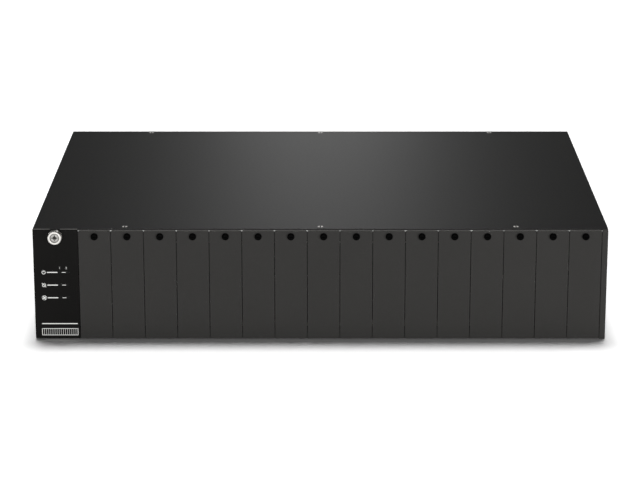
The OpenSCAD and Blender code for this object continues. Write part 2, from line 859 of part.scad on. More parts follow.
module fan_frame(n) {
    motor_y = fan_front_y + motor_t;
    color("#1f1f20") translate([fan_x(n), 0, mid_z]) {
        slab_y(fan_front_y, fan_front_y + fan_d) difference() {
            rounded_rect(fan_w, fan_w, fan_corner_r);
            circle(r = duct_r);
            for (sx = [-1, 1], sz = [-1, 1])
                translate([sx * fan_hole_at, sz * fan_hole_at]) circle(r = fan_hole_r);
        }
        difference() {
            union() {
                for (k = [0 : strut_count - 1])
                    rotate([0, 45 + k * 360 / strut_count, 0])
                        block([0, fan_front_y, -strut_w / 2],
                              [duct_r + blade_gap, fan_front_y + motor_t, strut_w / 2]);
                rod_y(motor_r, fan_front_y, motor_y);
                rod_y(bearing_r, fan_front_y, motor_y + bearing_l);
            }
            rod_y(axle_r + axle_gap, fan_front_y - cut, motor_y + bearing_l + cut);
        }
    }
}

module fan_rotor(n) {
    color("#2a2a2b") translate([fan_x(n), 0, mid_z]) {
        difference() {
            rod_y(hub_r, hub_y, hub_end_y);
            rod_y(hub_r - hub_wall, hub_y - cut, hub_end_y - hub_wall);
        }
        rod_y(axle_r, fan_front_y, hub_end_y - hub_wall / 2);
        for (k = [0 : blade_count - 1])
            rotate([0, k * 360 / blade_count, 0]) blade();
    }
}

// One blade: a slice of a curved sheet, kept between the hub and the duct
module blade() {
    mid_y = (hub_y + hub_end_y) / 2;
    intersection() {
        difference() {
            rod_y(duct_r - blade_gap, hub_y + blade_inset, hub_end_y - blade_inset);
            rod_y(hub_r - hub_wall / 2, hub_y, hub_end_y);
        }
        translate([0, mid_y, 0]) rotate([blade_pitch, 0, 0]) translate([0, 0, -blade_bow_r])
            difference() {
                rod_x(blade_bow_r, hub_r - hub_wall, duct_r);
                rod_x(blade_bow_r - blade_t, hub_r - hub_wall - cut, duct_r + cut);
                block([0, -2 * blade_bow_r, -2 * blade_bow_r], [2 * duct_r, 2 * blade_bow_r, 0]);
            }
    }
}

module fan_guards() {
    wire_y = rear_y + guard_eye_t + guard_wire_r;
    color("silver") for (n = [1, 2]) translate([fan_x(n), 0, mid_z]) {
        for (share = guard_ring_shares)
            translate([0, wire_y, 0]) rotate([90, 0, 0])
                rotate_extrude() translate([share * duct_r, 0]) circle(r = guard_wire_r);
        for (turn = [45, 135]) rotate([0, turn, 0]) translate([0, wire_y, 0])
            rod_x(guard_wire_r * 0.98, -guard_wire_end, guard_wire_end);
        at_fan_corners() difference() {
            rod_y(guard_eye_r, rear_y, rear_y + guard_eye_t);
            rod_y(fan_screw_r + thread_gap, rear_y - cut, rear_y + guard_eye_t + cut);
        }
        for (turn = [45 : 90 : 315]) rotate([0, turn, 0])
            block([fan_hole_reach - guard_eye_r, rear_y, -guard_wire_r],
                  [guard_wire_end, wire_y, guard_wire_r]);
    }
}

module fan_screws() {
    color("#1c1c1c") for (n = [1, 2]) translate([fan_x(n), rear_y + guard_eye_t, mid_z])
        at_fan_corners() face_back()
            pan_screw(fan_screw_head_r, fan_screw_head_h, fan_screw_r, fan_screw_l);
}

// The fans' leads: each leaves its frame, drops to the floor and climbs to its header
lead_top_z = mid_z - lead_z_share * fan_w;
lead_low_z = sheet_t + lead_floor_gap + lead_r;
lead_y0 = bulkhead_back_y + header_l;
lead_ramp_gap = 14;

function ease(t) = (1 - cos(180 * max(0, min(1, t)))) / 2;
function lead_z(y) = lead_top_z - (lead_top_z - lead_low_z)
    * ease((y - lead_y0 - lead_ramp_gap) / lead_ramp_l)
    * ease((fan_front_y - lead_ramp_gap - y) / lead_ramp_l);
function lead_y(i) = lead_y0 + (fan_front_y - lead_y0) * i / lead_rings;
function lead_slope(i) = i == 0 || i == lead_rings ? 0
    : atan2(lead_z(lead_y(i + 1)) - lead_z(lead_y(i - 1)), lead_y(i + 1) - lead_y(i - 1));

module lead() {
    points = [for (i = [0 : lead_rings], s = [0 : lead_sides - 1])
        let (a = 360 * s / lead_sides, slope = lead_slope(i))
        [lead_r * cos(a),
         lead_y(i) - lead_r * sin(a) * sin(slope),
         lead_z(lead_y(i)) + lead_r * sin(a) * cos(slope)]];
    sides = [for (i = [0 : lead_rings - 1], s = [0 : lead_sides - 1])
        let (a = i * lead_sides + s, b = i * lead_sides + (s + 1) % lead_sides)
        each [[a, b, b + lead_sides], [a, b + lead_sides, a + lead_sides]]];
    near = [for (s = [1 : lead_sides - 2]) [0, s + 1, s]];
    far0 = lead_rings * lead_sides;
    far = [for (s = [1 : lead_sides - 2]) [far0, far0 + s, far0 + s + 1]];
    polyhedron(points, concat(sides, near, far));
}

module fan_leads() {
    color("#252525") for (n = [1, 2]) {
        x = fan_x(n) + lead_x_share * fan_w;
        translate([x, 0, 0]) lead();
        block([x - header_w / 2, bulkhead_back_y, lead_top_z - header_h / 2],
              [x + header_w / 2, lead_y0, lead_top_z + header_h / 2]);
    }
}

module ground_screw() {
    color("#b59a4a") translate([ground_x, rear_y, ground_z]) {
        translate([0, ground_washer_t, 0]) face_back()
            pan_screw(ground_head_r, ground_head_h, ground_r, ground_l);
        difference() {
            rod_y(ground_washer_r, 0, ground_washer_t);
            rod_y(ground_r + thread_gap, -cut, ground_washer_t + cut);
        }
    }
}

// L-shaped runners that a power supply slides on
module psu_rails() {
    color("#8d9091") for (n = [1, 2], side = [-1, 1]) translate([psu_x(n), 0, 0]) {
        edge = psu_w / 2 + fit_gap;
        block([side > 0 ? edge - rail_run : -edge - sheet_t, psu_front_y, sheet_t],
              [side > 0 ? edge + sheet_t : rail_run - edge,
               rear_y - sheet_t - flange_l - fit_gap, psu_foot_z - fit_gap]);
        block([side > 0 ? edge : -edge - sheet_t, psu_front_y, sheet_t],
              [side > 0 ? edge + sheet_t : -edge,
               rear_y - sheet_t - flange_l - fit_gap, psu_foot_z + rail_wall_h]);
    }
}

// Status module

module status_panel() {
    w = panel_x1 - panel_x0;
    h = chassis_h - panel_foot_z;
    relief_r = (relief_w * relief_w / 4 + relief_h * relief_h) / (2 * relief_h);
    color("#171716") difference() {
        slab_y(front_y, rail_y) translate([panel_x0, panel_foot_z]) difference() {
            union() {
                translate([panel_corner_r, 0]) square([w - panel_corner_r, h]);
                translate([0, panel_corner_r]) square([w, h - panel_corner_r]);
                translate([panel_corner_r, panel_corner_r]) circle(r = panel_corner_r);
            }
            translate([w / 2, h - relief_h + relief_r]) circle(r = relief_r);
        }
        translate([panel_mid_x, 0, screw_z]) rod_y(pass_r, front_y - cut, rail_y + cut);
        at_lamps() rod_y(lamp_r + lamp_gap, front_y - cut, rail_y + cut);
    }
}

module at_lamps() {
    for (sx = [-1, 1], row = [-1 : 1])
        translate([lamp_x + sx * lamp_pitch_x / 2, 0, lamp_z + row * lamp_pitch_z]) children();
}

module status_lamps() {
    color("#2b2f2c") at_lamps() rod_y(lamp_r, front_y + lamp_sink, rail_y + carrier_front_gap);
}

module status_board() {
    half = board_t / 2;
    x0 = status_x - half;
    x1 = status_x + half;
    y0 = rail_y + fit_gap;
    y1 = board_y - edge_socket_l - edge_gap;
    run = y1 - y0;
    rise = status_board_top_z - status_board_foot_z;
    carrier_y = rail_y + carrier_front_gap;
    color("#1d5a34") {
        block([x0, y0, status_board_foot_z], [x1, y1, status_board_top_z]);
        block([x0, y1 - cut, edge_socket_z + 2 * sheet_t],
              [x1, y1 + edge_insert_l, edge_socket_z + edge_socket_h - 2 * sheet_t]);
        for (place = chip_places_share)
            block([x1, y0 + place[0] * run, status_board_foot_z + place[1] * rise],
                  [x1 + chip_t, y0 + place[0] * run + chip_side,
                   status_board_foot_z + place[1] * rise + chip_side]);
        block([x1, carrier_y, lamp_z - lamp_pitch_z - carrier_margin],
              [lamp_x + lamp_pitch_x / 2 + carrier_margin, carrier_y + carrier_l,
               lamp_z + lamp_pitch_z + carrier_margin]);
        for (z = [status_board_foot_z + bracket_edge_gap,
                  status_board_top_z - bracket_edge_gap - bracket_h]) {
            block([x1, rail_y, z], [x1 + bracket_w, rail_y + sheet_t, z + bracket_h]);
            block([x1, rail_y, z], [x1 + sheet_t, rail_y + bracket_l, z + bracket_h]);
        }
    }
}

module status_thumbscrew() {
    color("silver") translate([panel_mid_x, front_y, screw_z])
        face_front() thumbscrew(cover_t + sheet_t + nut_l);
}

// A blank cover with its tongue, and the screw that holds it
module slot_cover(i) {
    w = cover_w / 2;
    c = cover_chamfer;
    color("#383735") translate([slot_x(i), 0, 0]) {
        difference() {
            union() {
                slab_y(front_y, rail_y) polygon([
                    [-w, cover_lift + c], [c - w, cover_lift], [w - c, cover_lift],
                    [w, cover_lift + c], [w, cover_top_z - c], [w - c, cover_top_z],
                    [c - w, cover_top_z], [-w, cover_top_z - c]]);
                block([-tongue_w / 2, front_y, tongue_z],
                      [tongue_w / 2, rail_y + tongue_l, tongue_z + tongue_t]);
            }
            translate([0, 0, screw_z]) rod_y(pass_r, front_y - cut, rail_y + cut);
        }
        translate([0, front_y, screw_z]) face_front()
            pan_screw(pan_r, pan_h, shank_r, cover_t + sheet_t + nut_l);
    }
}

// Power supply, the same for both bays

module psu_case(n) {
    x = psu_w / 2;
    window_h = board_t + 2 * psu_t;
    color("#9a9c9c") translate([psu_x(n), 0, 0]) {
        difference() {
            block([-x, psu_front_y, psu_foot_z], [x, rear_y, psu_top_z - psu_t]);
            block([psu_t - x, psu_front_y + psu_t, psu_foot_z + psu_t],
                  [x - psu_t, rear_y + cut, psu_top_z]);
            block([-dock_w / 2 - psu_t, psu_front_y - cut, psu_board_z - psu_t],
                  [dock_w / 2 + psu_t, psu_front_y + psu_t + cut,
                   psu_board_z - psu_t + window_h]);
        }
        for (side = [-1, 1], y = [psu_board_y0 + psu_stud_inset, psu_board_y1 - psu_stud_inset])
            translate([side * (psu_board_x - psu_stud_inset), y, 0])
                rod_z(psu_stud_r, psu_foot_z + psu_t, psu_board_z);
    }
}

module psu_lid(n) {
    x = psu_w / 2;
    lip_x = x - psu_t - fit_gap;
    lip_z = psu_top_z - psu_t - lid_lip_h;
    run = rear_y - psu_front_y;
    color("#9a9c9c") translate([psu_x(n), 0, 0]) difference() {
        union() {
            block([-x, psu_front_y, psu_top_z - psu_t], [x, rear_y, psu_top_z]);
            for (side = [-1, 1])
                block([side > 0 ? lip_x - psu_t : -lip_x, psu_front_y + psu_t + fit_gap, lip_z],
                      [side > 0 ? lip_x : psu_t - lip_x, rear_y, psu_top_z]);
        }
        for (k = [0 : lid_vent_count - 1])
            translate([0, psu_front_y + run / 2 + (k - (lid_vent_count - 1) / 2) * lid_vent_pitch, 0])
                block([-lid_vent_h / 2, -lid_vent_w / 2, psu_top_z - psu_t - cut],
                      [lid_vent_h / 2, lid_vent_w / 2, psu_top_z + cut]);
    }
}

module psu_faceplate(n) {
    color("#343331") translate([psu_x(n), 0, 0]) difference() {
        translate([0, 0, mid_z]) slab_y(rear_y, face_back_y)
            rounded_rect(face_w, face_h, face_corner_r);
        translate([inlet_x - inlet_w / 2 - fit_gap, rear_y - cut, mid_z - inlet_h / 2 - fit_gap])
            cube([inlet_w + 2 * fit_gap, face_t + 2 * cut, inlet_h + 2 * fit_gap]);
        for (k = [0 : face_vent_count - 1])
            translate([(face_vent_x0 + face_vent_x1) / 2
                       + (k - (face_vent_count - 1) / 2) * face_vent_pitch, 0, face_vent_z])
                slab_y(rear_y - cut, face_back_y + cut)
                    rounded_rect(face_vent_w, face_vent_h, face_vent_w / 2 * 0.98);
        translate([psu_screw_x, 0, psu_screw_z]) rod_y(pass_r, rear_y - cut, face_back_y + cut);
    }
}

// Outline of the inlet's socket, whose two lower corners are cut off
module socket_outline() {
    w = socket_w / 2;
    h = socket_h / 2;
    c = socket_chamfer;
    polygon([[-w, c - h], [c - w, -h], [w - c, -h], [w, c - h], [w, h], [-w, h]]);
}

module psu_inlet(n) {
    flange_y = face_back_y + inlet_flange_t;
    floor_y = flange_y - socket_d;
    well_w = rocker_w + 2 * rocker_gap;
    well_h = rocker_h + 2 * rocker_end_gap;
    axle_x = well_w / 2 + rocker_axle_sink + rocker_gap;
    color("#1c1c1c") translate([psu_x(n) + inlet_x, 0, 0]) {
        difference() {
            union() {
                block([-inlet_w / 2, face_back_y - inlet_body_l, mid_z - inlet_h / 2],
                      [inlet_w / 2, flange_y, mid_z + inlet_h / 2]);
                translate([0, 0, mid_z]) slab_y(face_back_y, flange_y)
                    rounded_rect(inlet_flange_w, inlet_flange_h, inlet_corner_r);
            }
            translate([0, 0, socket_z]) slab_y(floor_y, flange_y + cut) socket_outline();
            block([-well_w / 2, flange_y - rocker_well_d, rocker_z - well_h / 2],
                  [well_w / 2, flange_y + cut, rocker_z + well_h / 2]);
            translate([0, rocker_axle_y, rocker_z])
                rod_x(rocker_axle_r + thread_gap, -axle_x, axle_x);
        }
        for (k = [-1 : 1])
            block([k * pin_pitch - pin_w / 2, floor_y,
                   socket_z - pin_h / 2 + (k == 0 ? pin_stagger : -pin_stagger)],
                  [k * pin_pitch + pin_w / 2, flange_y - pin_tip_gap,
                   socket_z + pin_h / 2 + (k == 0 ? pin_stagger : -pin_stagger)]);
    }
}

module psu_rocker(n) {
    h = rocker_h / 2;
    axle_x = rocker_w / 2 + rocker_gap + rocker_axle_sink;
    color("#b3261e") translate([psu_x(n) + inlet_x, rocker_axle_y, rocker_z])
        rotate([rocker_swing / 2, 0, 0]) {
            slab_x(-rocker_w / 2, rocker_w / 2)
                polygon([[rocker_out, -h], [rocker_dip, 0], [rocker_out, h],
                         [-rocker_in, h - rocker_taper], [-rocker_in, rocker_taper - h]]);
            rod_x(rocker_axle_r, -axle_x, axle_x);
        }
}

module psu_handle(n) {
    half = handle_w / 2;
    bend_r = min(handle_bend_r, half - handle_r / 2);
    straight_y = face_back_y + handle_reach - bend_r;
    color("#1f1f20") translate([psu_x(n) + handle_x, 0, handle_z]) {
        translate([0, face_back_y + handle_reach, 0])
            rod_x(handle_r, bend_r - half, half - bend_r);
        for (side = [-1, 1]) {
            translate([side * half, 0, 0]) rod_y(handle_r, face_back_y, straight_y);
            translate([side * half, 0, 0])
                rod_y(handle_foot_r, face_back_y, face_back_y + handle_foot_t);
            translate([side * (half - bend_r), straight_y, 0])
                rotate([0, 0, side > 0 ? 0 : 90])
                    rotate_extrude(angle = 90) translate([bend_r, 0]) circle(r = handle_r);
        }
    }
}

// Board with its soldered parts, and the tongue that docks in the chassis
psu_part_share = [0.2, 0.42, 0.66];
transformer_size = [34, 30, 28];
can_r = 9;
can_h = 30;
small_can_r = 5;
small_can_h = 18;
sink_t = 3;
sink_l = 44;
sink_h = 32;

module psu_board(n) {
    top_z = psu_board_z + board_t;
    y0 = psu_board_y0;
    half = psu_board_x;
    run = psu_board_y1 - y0;
    color("#2a4d33") translate([psu_x(n), 0, 0]) {
        block([-half, y0, psu_board_z], [half, psu_board_y1, top_z]);
        block([-dock_w / 2, dock_y - dock_insert_l, psu_board_z], [dock_w / 2, y0 + cut, top_z]);
        translate([-transformer_size[0] / 2, y0 + psu_part_share[1] * run, top_z])
            cube(transformer_size);
        for (side = [-1, 1]) {
            translate([side * (half - 2 * can_r), y0 + psu_part_share[2] * run + 2 * can_r, 0])
                rod_z(can_r, top_z, top_z + can_h);
            translate([side * (half - 2 * can_r), y0 + psu_part_share[0] * run, 0])
                rod_z(small_can_r, top_z, top_z + small_can_h);
            block([side > 0 ? half - sink_t : -half, y0 + psu_part_share[0] * run, top_z],
                  [side > 0 ? half : sink_t - half, y0 + psu_part_share[0] * run + sink_l,
                   top_z + sink_h]);
        }
    }
}

module psu_thumbscrew(n) {
    color("silver") translate([psu_x(n) + psu_screw_x, face_back_y, psu_screw_z])
        face_back() thumbscrew(face_t + sheet_t + nut_l);
}

base_tray();
top_cover();
top_cover_screws();
upper_front_rail();
lower_front_rail();
upper_guide_plate();
lower_guide_plate();
card_guides();
bulkhead();
backplane_board();
backplane_spacers();
slot_power_plugs();
dock_sockets();
rear_panel();
frame_screws();
psu_rails();
for (n = [1, 2]) {
    fan_frame(n);
    fan_rotor(n);
}
fan_guards();
fan_screws();
fan_leads();
ground_screw();
status_panel();
status_board();
status_lamps();
status_thumbscrew();
for (n = [1, 2]) {
    psu_case(n);
    psu_lid(n);
    psu_faceplate(n);
    psu_inlet(n);
    psu_rocker(n);
    psu_handle(n);
    psu_board(n);
    psu_thumbscrew(n);
}
for (i = [1 : slot_count])
    slot_cover(i);
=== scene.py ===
# %% [markdown]
# A chassis for media converters: a black steel box, two rack units high, with sixteen bays
# behind blank covers, a status module at the left, and two power supplies and two fans at
# the back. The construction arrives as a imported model, already at its real size and place.
# This notebook gives every piece its finish, prints the status panel, and lights the box.

# %% Load the frame
import bpy
import math
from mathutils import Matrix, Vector


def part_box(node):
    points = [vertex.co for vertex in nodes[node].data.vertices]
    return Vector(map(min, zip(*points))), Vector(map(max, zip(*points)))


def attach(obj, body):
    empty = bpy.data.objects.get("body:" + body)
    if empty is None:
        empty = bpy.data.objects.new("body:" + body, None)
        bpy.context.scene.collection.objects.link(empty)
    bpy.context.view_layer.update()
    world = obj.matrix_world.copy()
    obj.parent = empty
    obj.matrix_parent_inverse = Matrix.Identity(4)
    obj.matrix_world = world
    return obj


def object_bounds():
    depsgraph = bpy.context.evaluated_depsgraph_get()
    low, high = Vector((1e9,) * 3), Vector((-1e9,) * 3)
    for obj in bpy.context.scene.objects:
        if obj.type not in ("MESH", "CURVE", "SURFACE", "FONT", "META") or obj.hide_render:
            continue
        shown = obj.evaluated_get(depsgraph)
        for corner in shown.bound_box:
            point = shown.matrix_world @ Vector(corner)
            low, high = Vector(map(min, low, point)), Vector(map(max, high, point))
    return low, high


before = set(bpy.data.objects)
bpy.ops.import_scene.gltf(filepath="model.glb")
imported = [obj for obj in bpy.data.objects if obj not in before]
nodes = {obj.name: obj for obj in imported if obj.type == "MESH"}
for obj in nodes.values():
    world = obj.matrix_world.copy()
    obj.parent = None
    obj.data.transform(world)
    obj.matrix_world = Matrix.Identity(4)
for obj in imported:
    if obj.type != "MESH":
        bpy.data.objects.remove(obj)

MM = 0.001
cad_low, cad_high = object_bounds()

# %% [markdown]
# Operators act on whatever is selected, and the loaded pieces all arrive selected. So the
# first helper lets go of everything, and the second makes one object the active one.

# %% Selection helpers


def let_go():
    bpy.ops.object.select_all(action="DESELECT")
    bpy.context.view_layer.objects.active = None


def pick(piece):
    let_go()
    piece.select_set(True)
    bpy.context.view_layer.objects.active = piece
    return piece


let_go()
print("nothing is selected")

# %% [markdown]
# The photograph was taken with a long lens from about two metres away, a little above the
# box, so its sides fall out of sight and its edges hardly converge. The lens and the pitch
# follow from how much narrower the top's rear edge looks than its front edge.

# %% Camera
LENS_MM = 135.78
SENSOR_MM = 36
PITCH_DEG = 16.09
CAMERA_PLACE = (-0.0003, -1.933, 0.591)

camera_data = bpy.data.cameras.new("photo_camera")
camera_data.lens = LENS_MM
camera_data.sensor_width = SENSOR_MM
camera = bpy.data.objects.new("photo_camera", camera_data)
camera.location = CAMERA_PLACE
camera.rotation_euler = (math.radians(90 - PITCH_DEG), 0, 0)
bpy.context.scene.collection.objects.link(camera)
bpy.context.scene.camera = camera
print("camera", round(math.dist(CAMERA_PLACE, (0, 0, 0)), 3), "m from the origin")

# %% [markdown]
# The table is one white plane, so wide that its far edge lies out of the picture. A bare hair
# of room below the box keeps the two surfaces from fighting over the same height.

# %% Floor
FLOOR_SIZE = 60.0
FLOOR_GAP = 0.1 * MM

bpy.ops.mesh.primitive_plane_add(size=FLOOR_SIZE, location=(0, 0, -FLOOR_GAP))
floor = bpy.context.object
floor.name = "studio_floor"
print("floor", FLOOR_SIZE, "m square")

# %% [markdown]
# Light that falls on the table meets an ordinary matt white. The camera, and whatever mirrors
# or shows through, meets a brighter white with the same shadows, so that the table fades into
# the page as in a catalogue. A Light Path node tells the two kinds of ray apart. The other
# way, stronger lamps, would also have bleached the box.

# %% Floor paint
FLOOR_WHITE = 0.8
FLOOR_SEEN = 1.62

floor_paint = bpy.data.materials.new("studio_white")
floor_paint.use_nodes = True
tree = floor_paint.node_tree
tree.nodes.clear()


def matt_white(level):
    white = tree.nodes.new("ShaderNodeBsdfDiffuse")
    white.inputs["Color"].default_value = (level, level, level, 1)
    return white.outputs[0]


def either(first, second):
    """Is 1 where the first or the second is 1."""
    larger = tree.nodes.new("ShaderNodeMath")
    larger.operation = "MAXIMUM"
    tree.links.new(first, larger.inputs[0])
    tree.links.new(second, larger.inputs[1])
    return larger.outputs[0]


ray = tree.nodes.new("ShaderNodeLightPath").outputs
seen = either(either(ray["Is Camera Ray"], ray["Is Glossy Ray"]), ray["Is Transmission Ray"])
mix = tree.nodes.new("ShaderNodeMixShader")
for socket, out in zip(mix.inputs, (seen, matt_white(FLOOR_WHITE), matt_white(FLOOR_SEEN))):
    tree.links.new(out, socket)
surface = tree.nodes.new("ShaderNodeOutputMaterial")
tree.links.new(mix.outputs[0], surface.inputs["Surface"])
floor.data.materials.append(floor_paint)
print("floor paint", FLOOR_WHITE, "for light and", FLOOR_SEEN, "for the eye")

# %% [markdown]
# The studio is plain. Two wide, very low lights in front show the covers and hardly touch the
# table, so the shadow at the box's foot stays dark. A narrow upright strip behind the box
# mirrors in the satin lid at a grazing angle, which draws the pale band along its middle. Two
# weak lights behind the corners keep the back and the sides readable.

# %% Soft lights
# Each light has its place, what it faces, its width and height, and its power in watts
SOFT_LIGHTS = {
    "front_softbox": ((-0.35, -2.5, 0.055), (0, -0.16, 0.05), (1.4, 0.09), 37),
    "right_softbox": ((1.3, -1.5, 0.055), (0.2, -0.16, 0.05), (0.5, 0.09), 20),
    "rear_left_softbox": ((-2.0, 1.5, 0.4), (-0.2, 0.16, 0.05), (0.8, 0.6), 15),
    "rear_right_softbox": ((2.0, 1.5, 0.4), (0.2, 0.16, 0.05), (0.8, 0.6), 15),
    "rear_strip": ((0, 1.4, 0.48), (0, 0, 0.088), (0.24, 0.95), 1.8),
}


def soft_light(name, place, aim, size, watts):
    """A rectangular soft box at place, turned to face aim."""
    data = bpy.data.lights.new(name, "AREA")
    data.shape = "RECTANGLE"
    data.size, data.size_y = size
    data.energy = watts
    lamp = bpy.data.objects.new(name, data)
    lamp.location = place
    facing = Vector(aim) - Vector(place)
    lamp.rotation_euler = facing.to_track_quat("-Z", "Y").to_euler()
    lamp.visible_camera = False
    bpy.context.scene.collection.objects.link(lamp)


for name, row in SOFT_LIGHTS.items():
    soft_light(name, *row)
print(len(SOFT_LIGHTS), "soft lights")

# %% [markdown]
# The light overhead is a sun with a wide disc, because a sun lights the whole table evenly
# and its disc softens the shadow. It leans a little backwards, so the box casts a short
# shadow on the table before it. The world is nearly black: a bright one would be mirrored in
# the lid and turn it grey.

# %% Overhead light and world
OVERHEAD_TILT_DEG = 13
OVERHEAD_DISC_DEG = 18
OVERHEAD_ENERGY = 1.9
WORLD_GREY = 0.02

overhead_data = bpy.data.lights.new("overhead_light", "SUN")
overhead_data.angle = math.radians(OVERHEAD_DISC_DEG)
overhead_data.energy = OVERHEAD_ENERGY
overhead = bpy.data.objects.new("overhead_light", overhead_data)
overhead.rotation_euler = (-math.radians(OVERHEAD_TILT_DEG), 0, 0)
bpy.context.scene.collection.objects.link(overhead)

world = bpy.data.worlds.new("studio")
world.use_nodes = True
sky = world.node_tree.nodes["Background"]
sky.inputs["Color"].default_value = (WORLD_GREY, WORLD_GREY, WORLD_GREY, 1)
bpy.context.scene.world = world
bpy.context.scene.view_settings.view_transform = "Standard"
print("overhead light and a world of", WORLD_GREY)

# %% [markdown]
# Every finish below is procedural: it grows from noise on Object coordinates, which here are
# metres in the frame of the whole box, so a scale of 1000 makes grains a millimetre wide.
# Three small classes keep the wiring short, each built on the one before it. The first
# starts a material, adds nodes to it and joins them.

# %% A surface and its nodes


class Surface:
    """A material being built, with its nodes, its shader and the coordinates it grows on."""

    def __init__(self, name, colour, roughness, metallic=0.0, specular=0.5):
        self.material = bpy.data.materials.new(name)
        self.material.use_nodes = True
        self.tree = self.material.node_tree
        self.shader = self.tree.nodes["Principled BSDF"]
        self.set("Base Color", (*colour, 1))
        self.set("Roughness", roughness)
        self.set("Metallic", metallic)
        self.set("Specular IOR Level", specular)
        self.material.diffuse_color = (*colour, 1)
        self.here = self.tree.nodes.new("ShaderNodeTexCoord").outputs["Object"]

    def set(self, socket, value):
        self.shader.inputs[socket].default_value = value

    def node(self, kind, **values):
        made = self.tree.nodes.new("ShaderNode" + kind)
        for name, value in values.items():
            setattr(made, name, value)
        return made

    def join(self, out, socket):
        self.tree.links.new(out, socket)

    def use(self, socket, out):
        self.join(out, self.shader.inputs[socket])


print("a surface has a colour, a roughness and a share of metal")

# %% [markdown]
# The second class holds the patterns. Noise drifts softly, and cells give the distance to the
# nearest of many scattered points. A Mapping node can centre a pattern on one piece, or
# stretch it along one axis as rolling and turning do. Two more methods measure a place: its
# parts along X, Y and Z, and its length.

# %% Patterns


class Patterned(Surface):
    """A surface with patterns, and with ways to measure a place on it."""

    def pattern(self, kind, scale, at=None, **values):
        """A texture node at a scale, on the coordinates given or else on the object's own."""
        made = self.node("Tex" + kind, **values)
        made.inputs["Scale"].default_value = scale
        self.join(at or self.here, made.inputs["Vector"])
        return made

    def noise(self, scale, detail=2.0, at=None):
        made = self.pattern("Noise", scale, at)
        made.inputs["Detail"].default_value = detail
        return made.outputs["Fac"]

    def cells(self, scale, feature="F1", at=None):
        return self.pattern("Voronoi", scale, at, feature=feature).outputs["Distance"]

    def placed(self, centre=(0, 0, 0), stretch=(1, 1, 1)):
        """Coordinates about a centre, stretched."""
        made = self.node("Mapping", vector_type="TEXTURE")
        made.inputs["Location"].default_value = centre
        made.inputs["Scale"].default_value = stretch
        self.join(self.here, made.inputs["Vector"])
        return made.outputs["Vector"]

    def parts(self, vector):
        """The X, Y and Z of a vector, one output each."""
        made = self.node("SeparateXYZ")
        self.join(vector, made.inputs["Vector"])
        return made.outputs

    def length(self, vector):
        made = self.node("VectorMath", operation="LENGTH")
        self.join(vector, made.inputs[0])
        return made.outputs["Value"]


print("patterns are noise and cells, placed and stretched")

# %% [markdown]
# The third class turns patterns into looks. A value is spread from one range to another, two
# colours are blended by a value, and a height becomes a bump. What most finishes share has a
# name of its own: a tone that drifts between two colours, a gloss that drifts a little, and
# a fine grain.

# %% Finishes


class Finish(Patterned):
    """A surface whose patterns become colour, gloss and grain."""

    def spread(self, value, low, high, start=0.3, end=0.7):
        """Turns a value from start to end into one from low to high."""
        made = self.node("MapRange")
        for name, number in (("From Min", start), ("From Max", end),
                             ("To Min", low), ("To Max", high)):
            made.inputs[name].default_value = number
        self.join(value, made.inputs["Value"])
        return made.outputs["Result"]

    def blend(self, share, first, second):
        """A colour between two, by a share from 0 to 1. Each is a colour or an output."""
        made = self.node("Mix", data_type="RGBA")
        self.join(share, made.inputs["Factor"])
        for socket, colour in ((6, first), (7, second)):
            if isinstance(colour, tuple):
                made.inputs[socket].default_value = (*colour, 1)
            else:
                self.join(colour, made.inputs[socket])
        return made.outputs[2]

    def maths(self, operation, *values):
        made = self.node("Math", operation=operation)
        for index, value in enumerate(values):
            if isinstance(value, (int, float)):
                made.inputs[index].default_value = value
            else:
                self.join(value, made.inputs[index])
        return made.outputs[0]

    def bump(self, height, depth, strength, after=None):
        made = self.node("Bump")
        made.inputs["Distance"].default_value = depth
        made.inputs["Strength"].default_value = strength
        self.join(height, made.inputs["Height"])
        if after is not None:
            self.join(after, made.inputs["Normal"])
        return made.outputs["Normal"]

    def tone(self, scale, first, second):
        drift = self.spread(self.noise(scale), 0, 1)
        self.use("Base Color", self.blend(drift, first, second))

    def gloss(self, scale, low, high):
        self.use("Roughness", self.spread(self.noise(scale), low, high))

    def grain(self, scale, depth, strength, detail=2.0):
        self.use("Normal", self.bump(self.noise(scale, detail), depth, strength))


def shade(colour, factor):
    """A colour made darker or lighter."""
    return tuple(min(1.0, part * factor) for part in colour)


print("finishes have a tone, a gloss and a grain")

# %% [markdown]
# Paint is thinner on an edge that is folded or cut with shears, and a little paler. The edge
# could be painted by hand on the mesh, but the Bevel node finds it without touching the mesh:
# it gives the direction of a surface whose edges are rounded off, and where that departs from
# the true direction there is an edge. Noise breaks the pale line into patches. Only edges that
# look up have it, so the pale line is also a painted highlight, standing for the light from
# above that catches those edges.

# %% Worn edges and painted highlights
EDGE_REACH = 0.35 * MM
EDGE_SAMPLES = 4
EDGE_SHARE = 0.8
AGREEMENT = (0.75, 0.99)
PATCH = 300
PATCH_SHARES = (0.4, 1)
LIT_FROM_ABOVE = (0.1, 0.6)


def softened(coat):
    """The direction of the surface, rounded off near its edges."""
    bevel = coat.node("Bevel", samples=EDGE_SAMPLES)
    bevel.inputs["Radius"].default_value = EDGE_REACH
    return bevel.outputs["Normal"]


def worn_edge(coat, soft):
    """A share that is high on worn edges that look up, from the softened direction of the
    surface; on those it also paints the highlight of light from above.
    """
    same = coat.node("VectorMath", operation="DOT_PRODUCT")
    coat.join(soft, same.inputs[0])
    coat.join(coat.node("NewGeometry").outputs["Normal"], same.inputs[1])
    edge = coat.spread(same.outputs["Value"], EDGE_SHARE, 0, *AGREEMENT)
    patchy = coat.maths("MULTIPLY", edge, coat.spread(coat.noise(PATCH), *PATCH_SHARES))
    # Only edges that look up keep the pale tone: a painted highlight of light from above.
    lit_from_above = coat.spread(coat.parts(soft)["Z"], 0, 1, *LIT_FROM_ABOVE)
    return coat.maths("MULTIPLY", patchy, lit_from_above)


print("edges are worn within", round(EDGE_REACH / MM, 2), "mm")

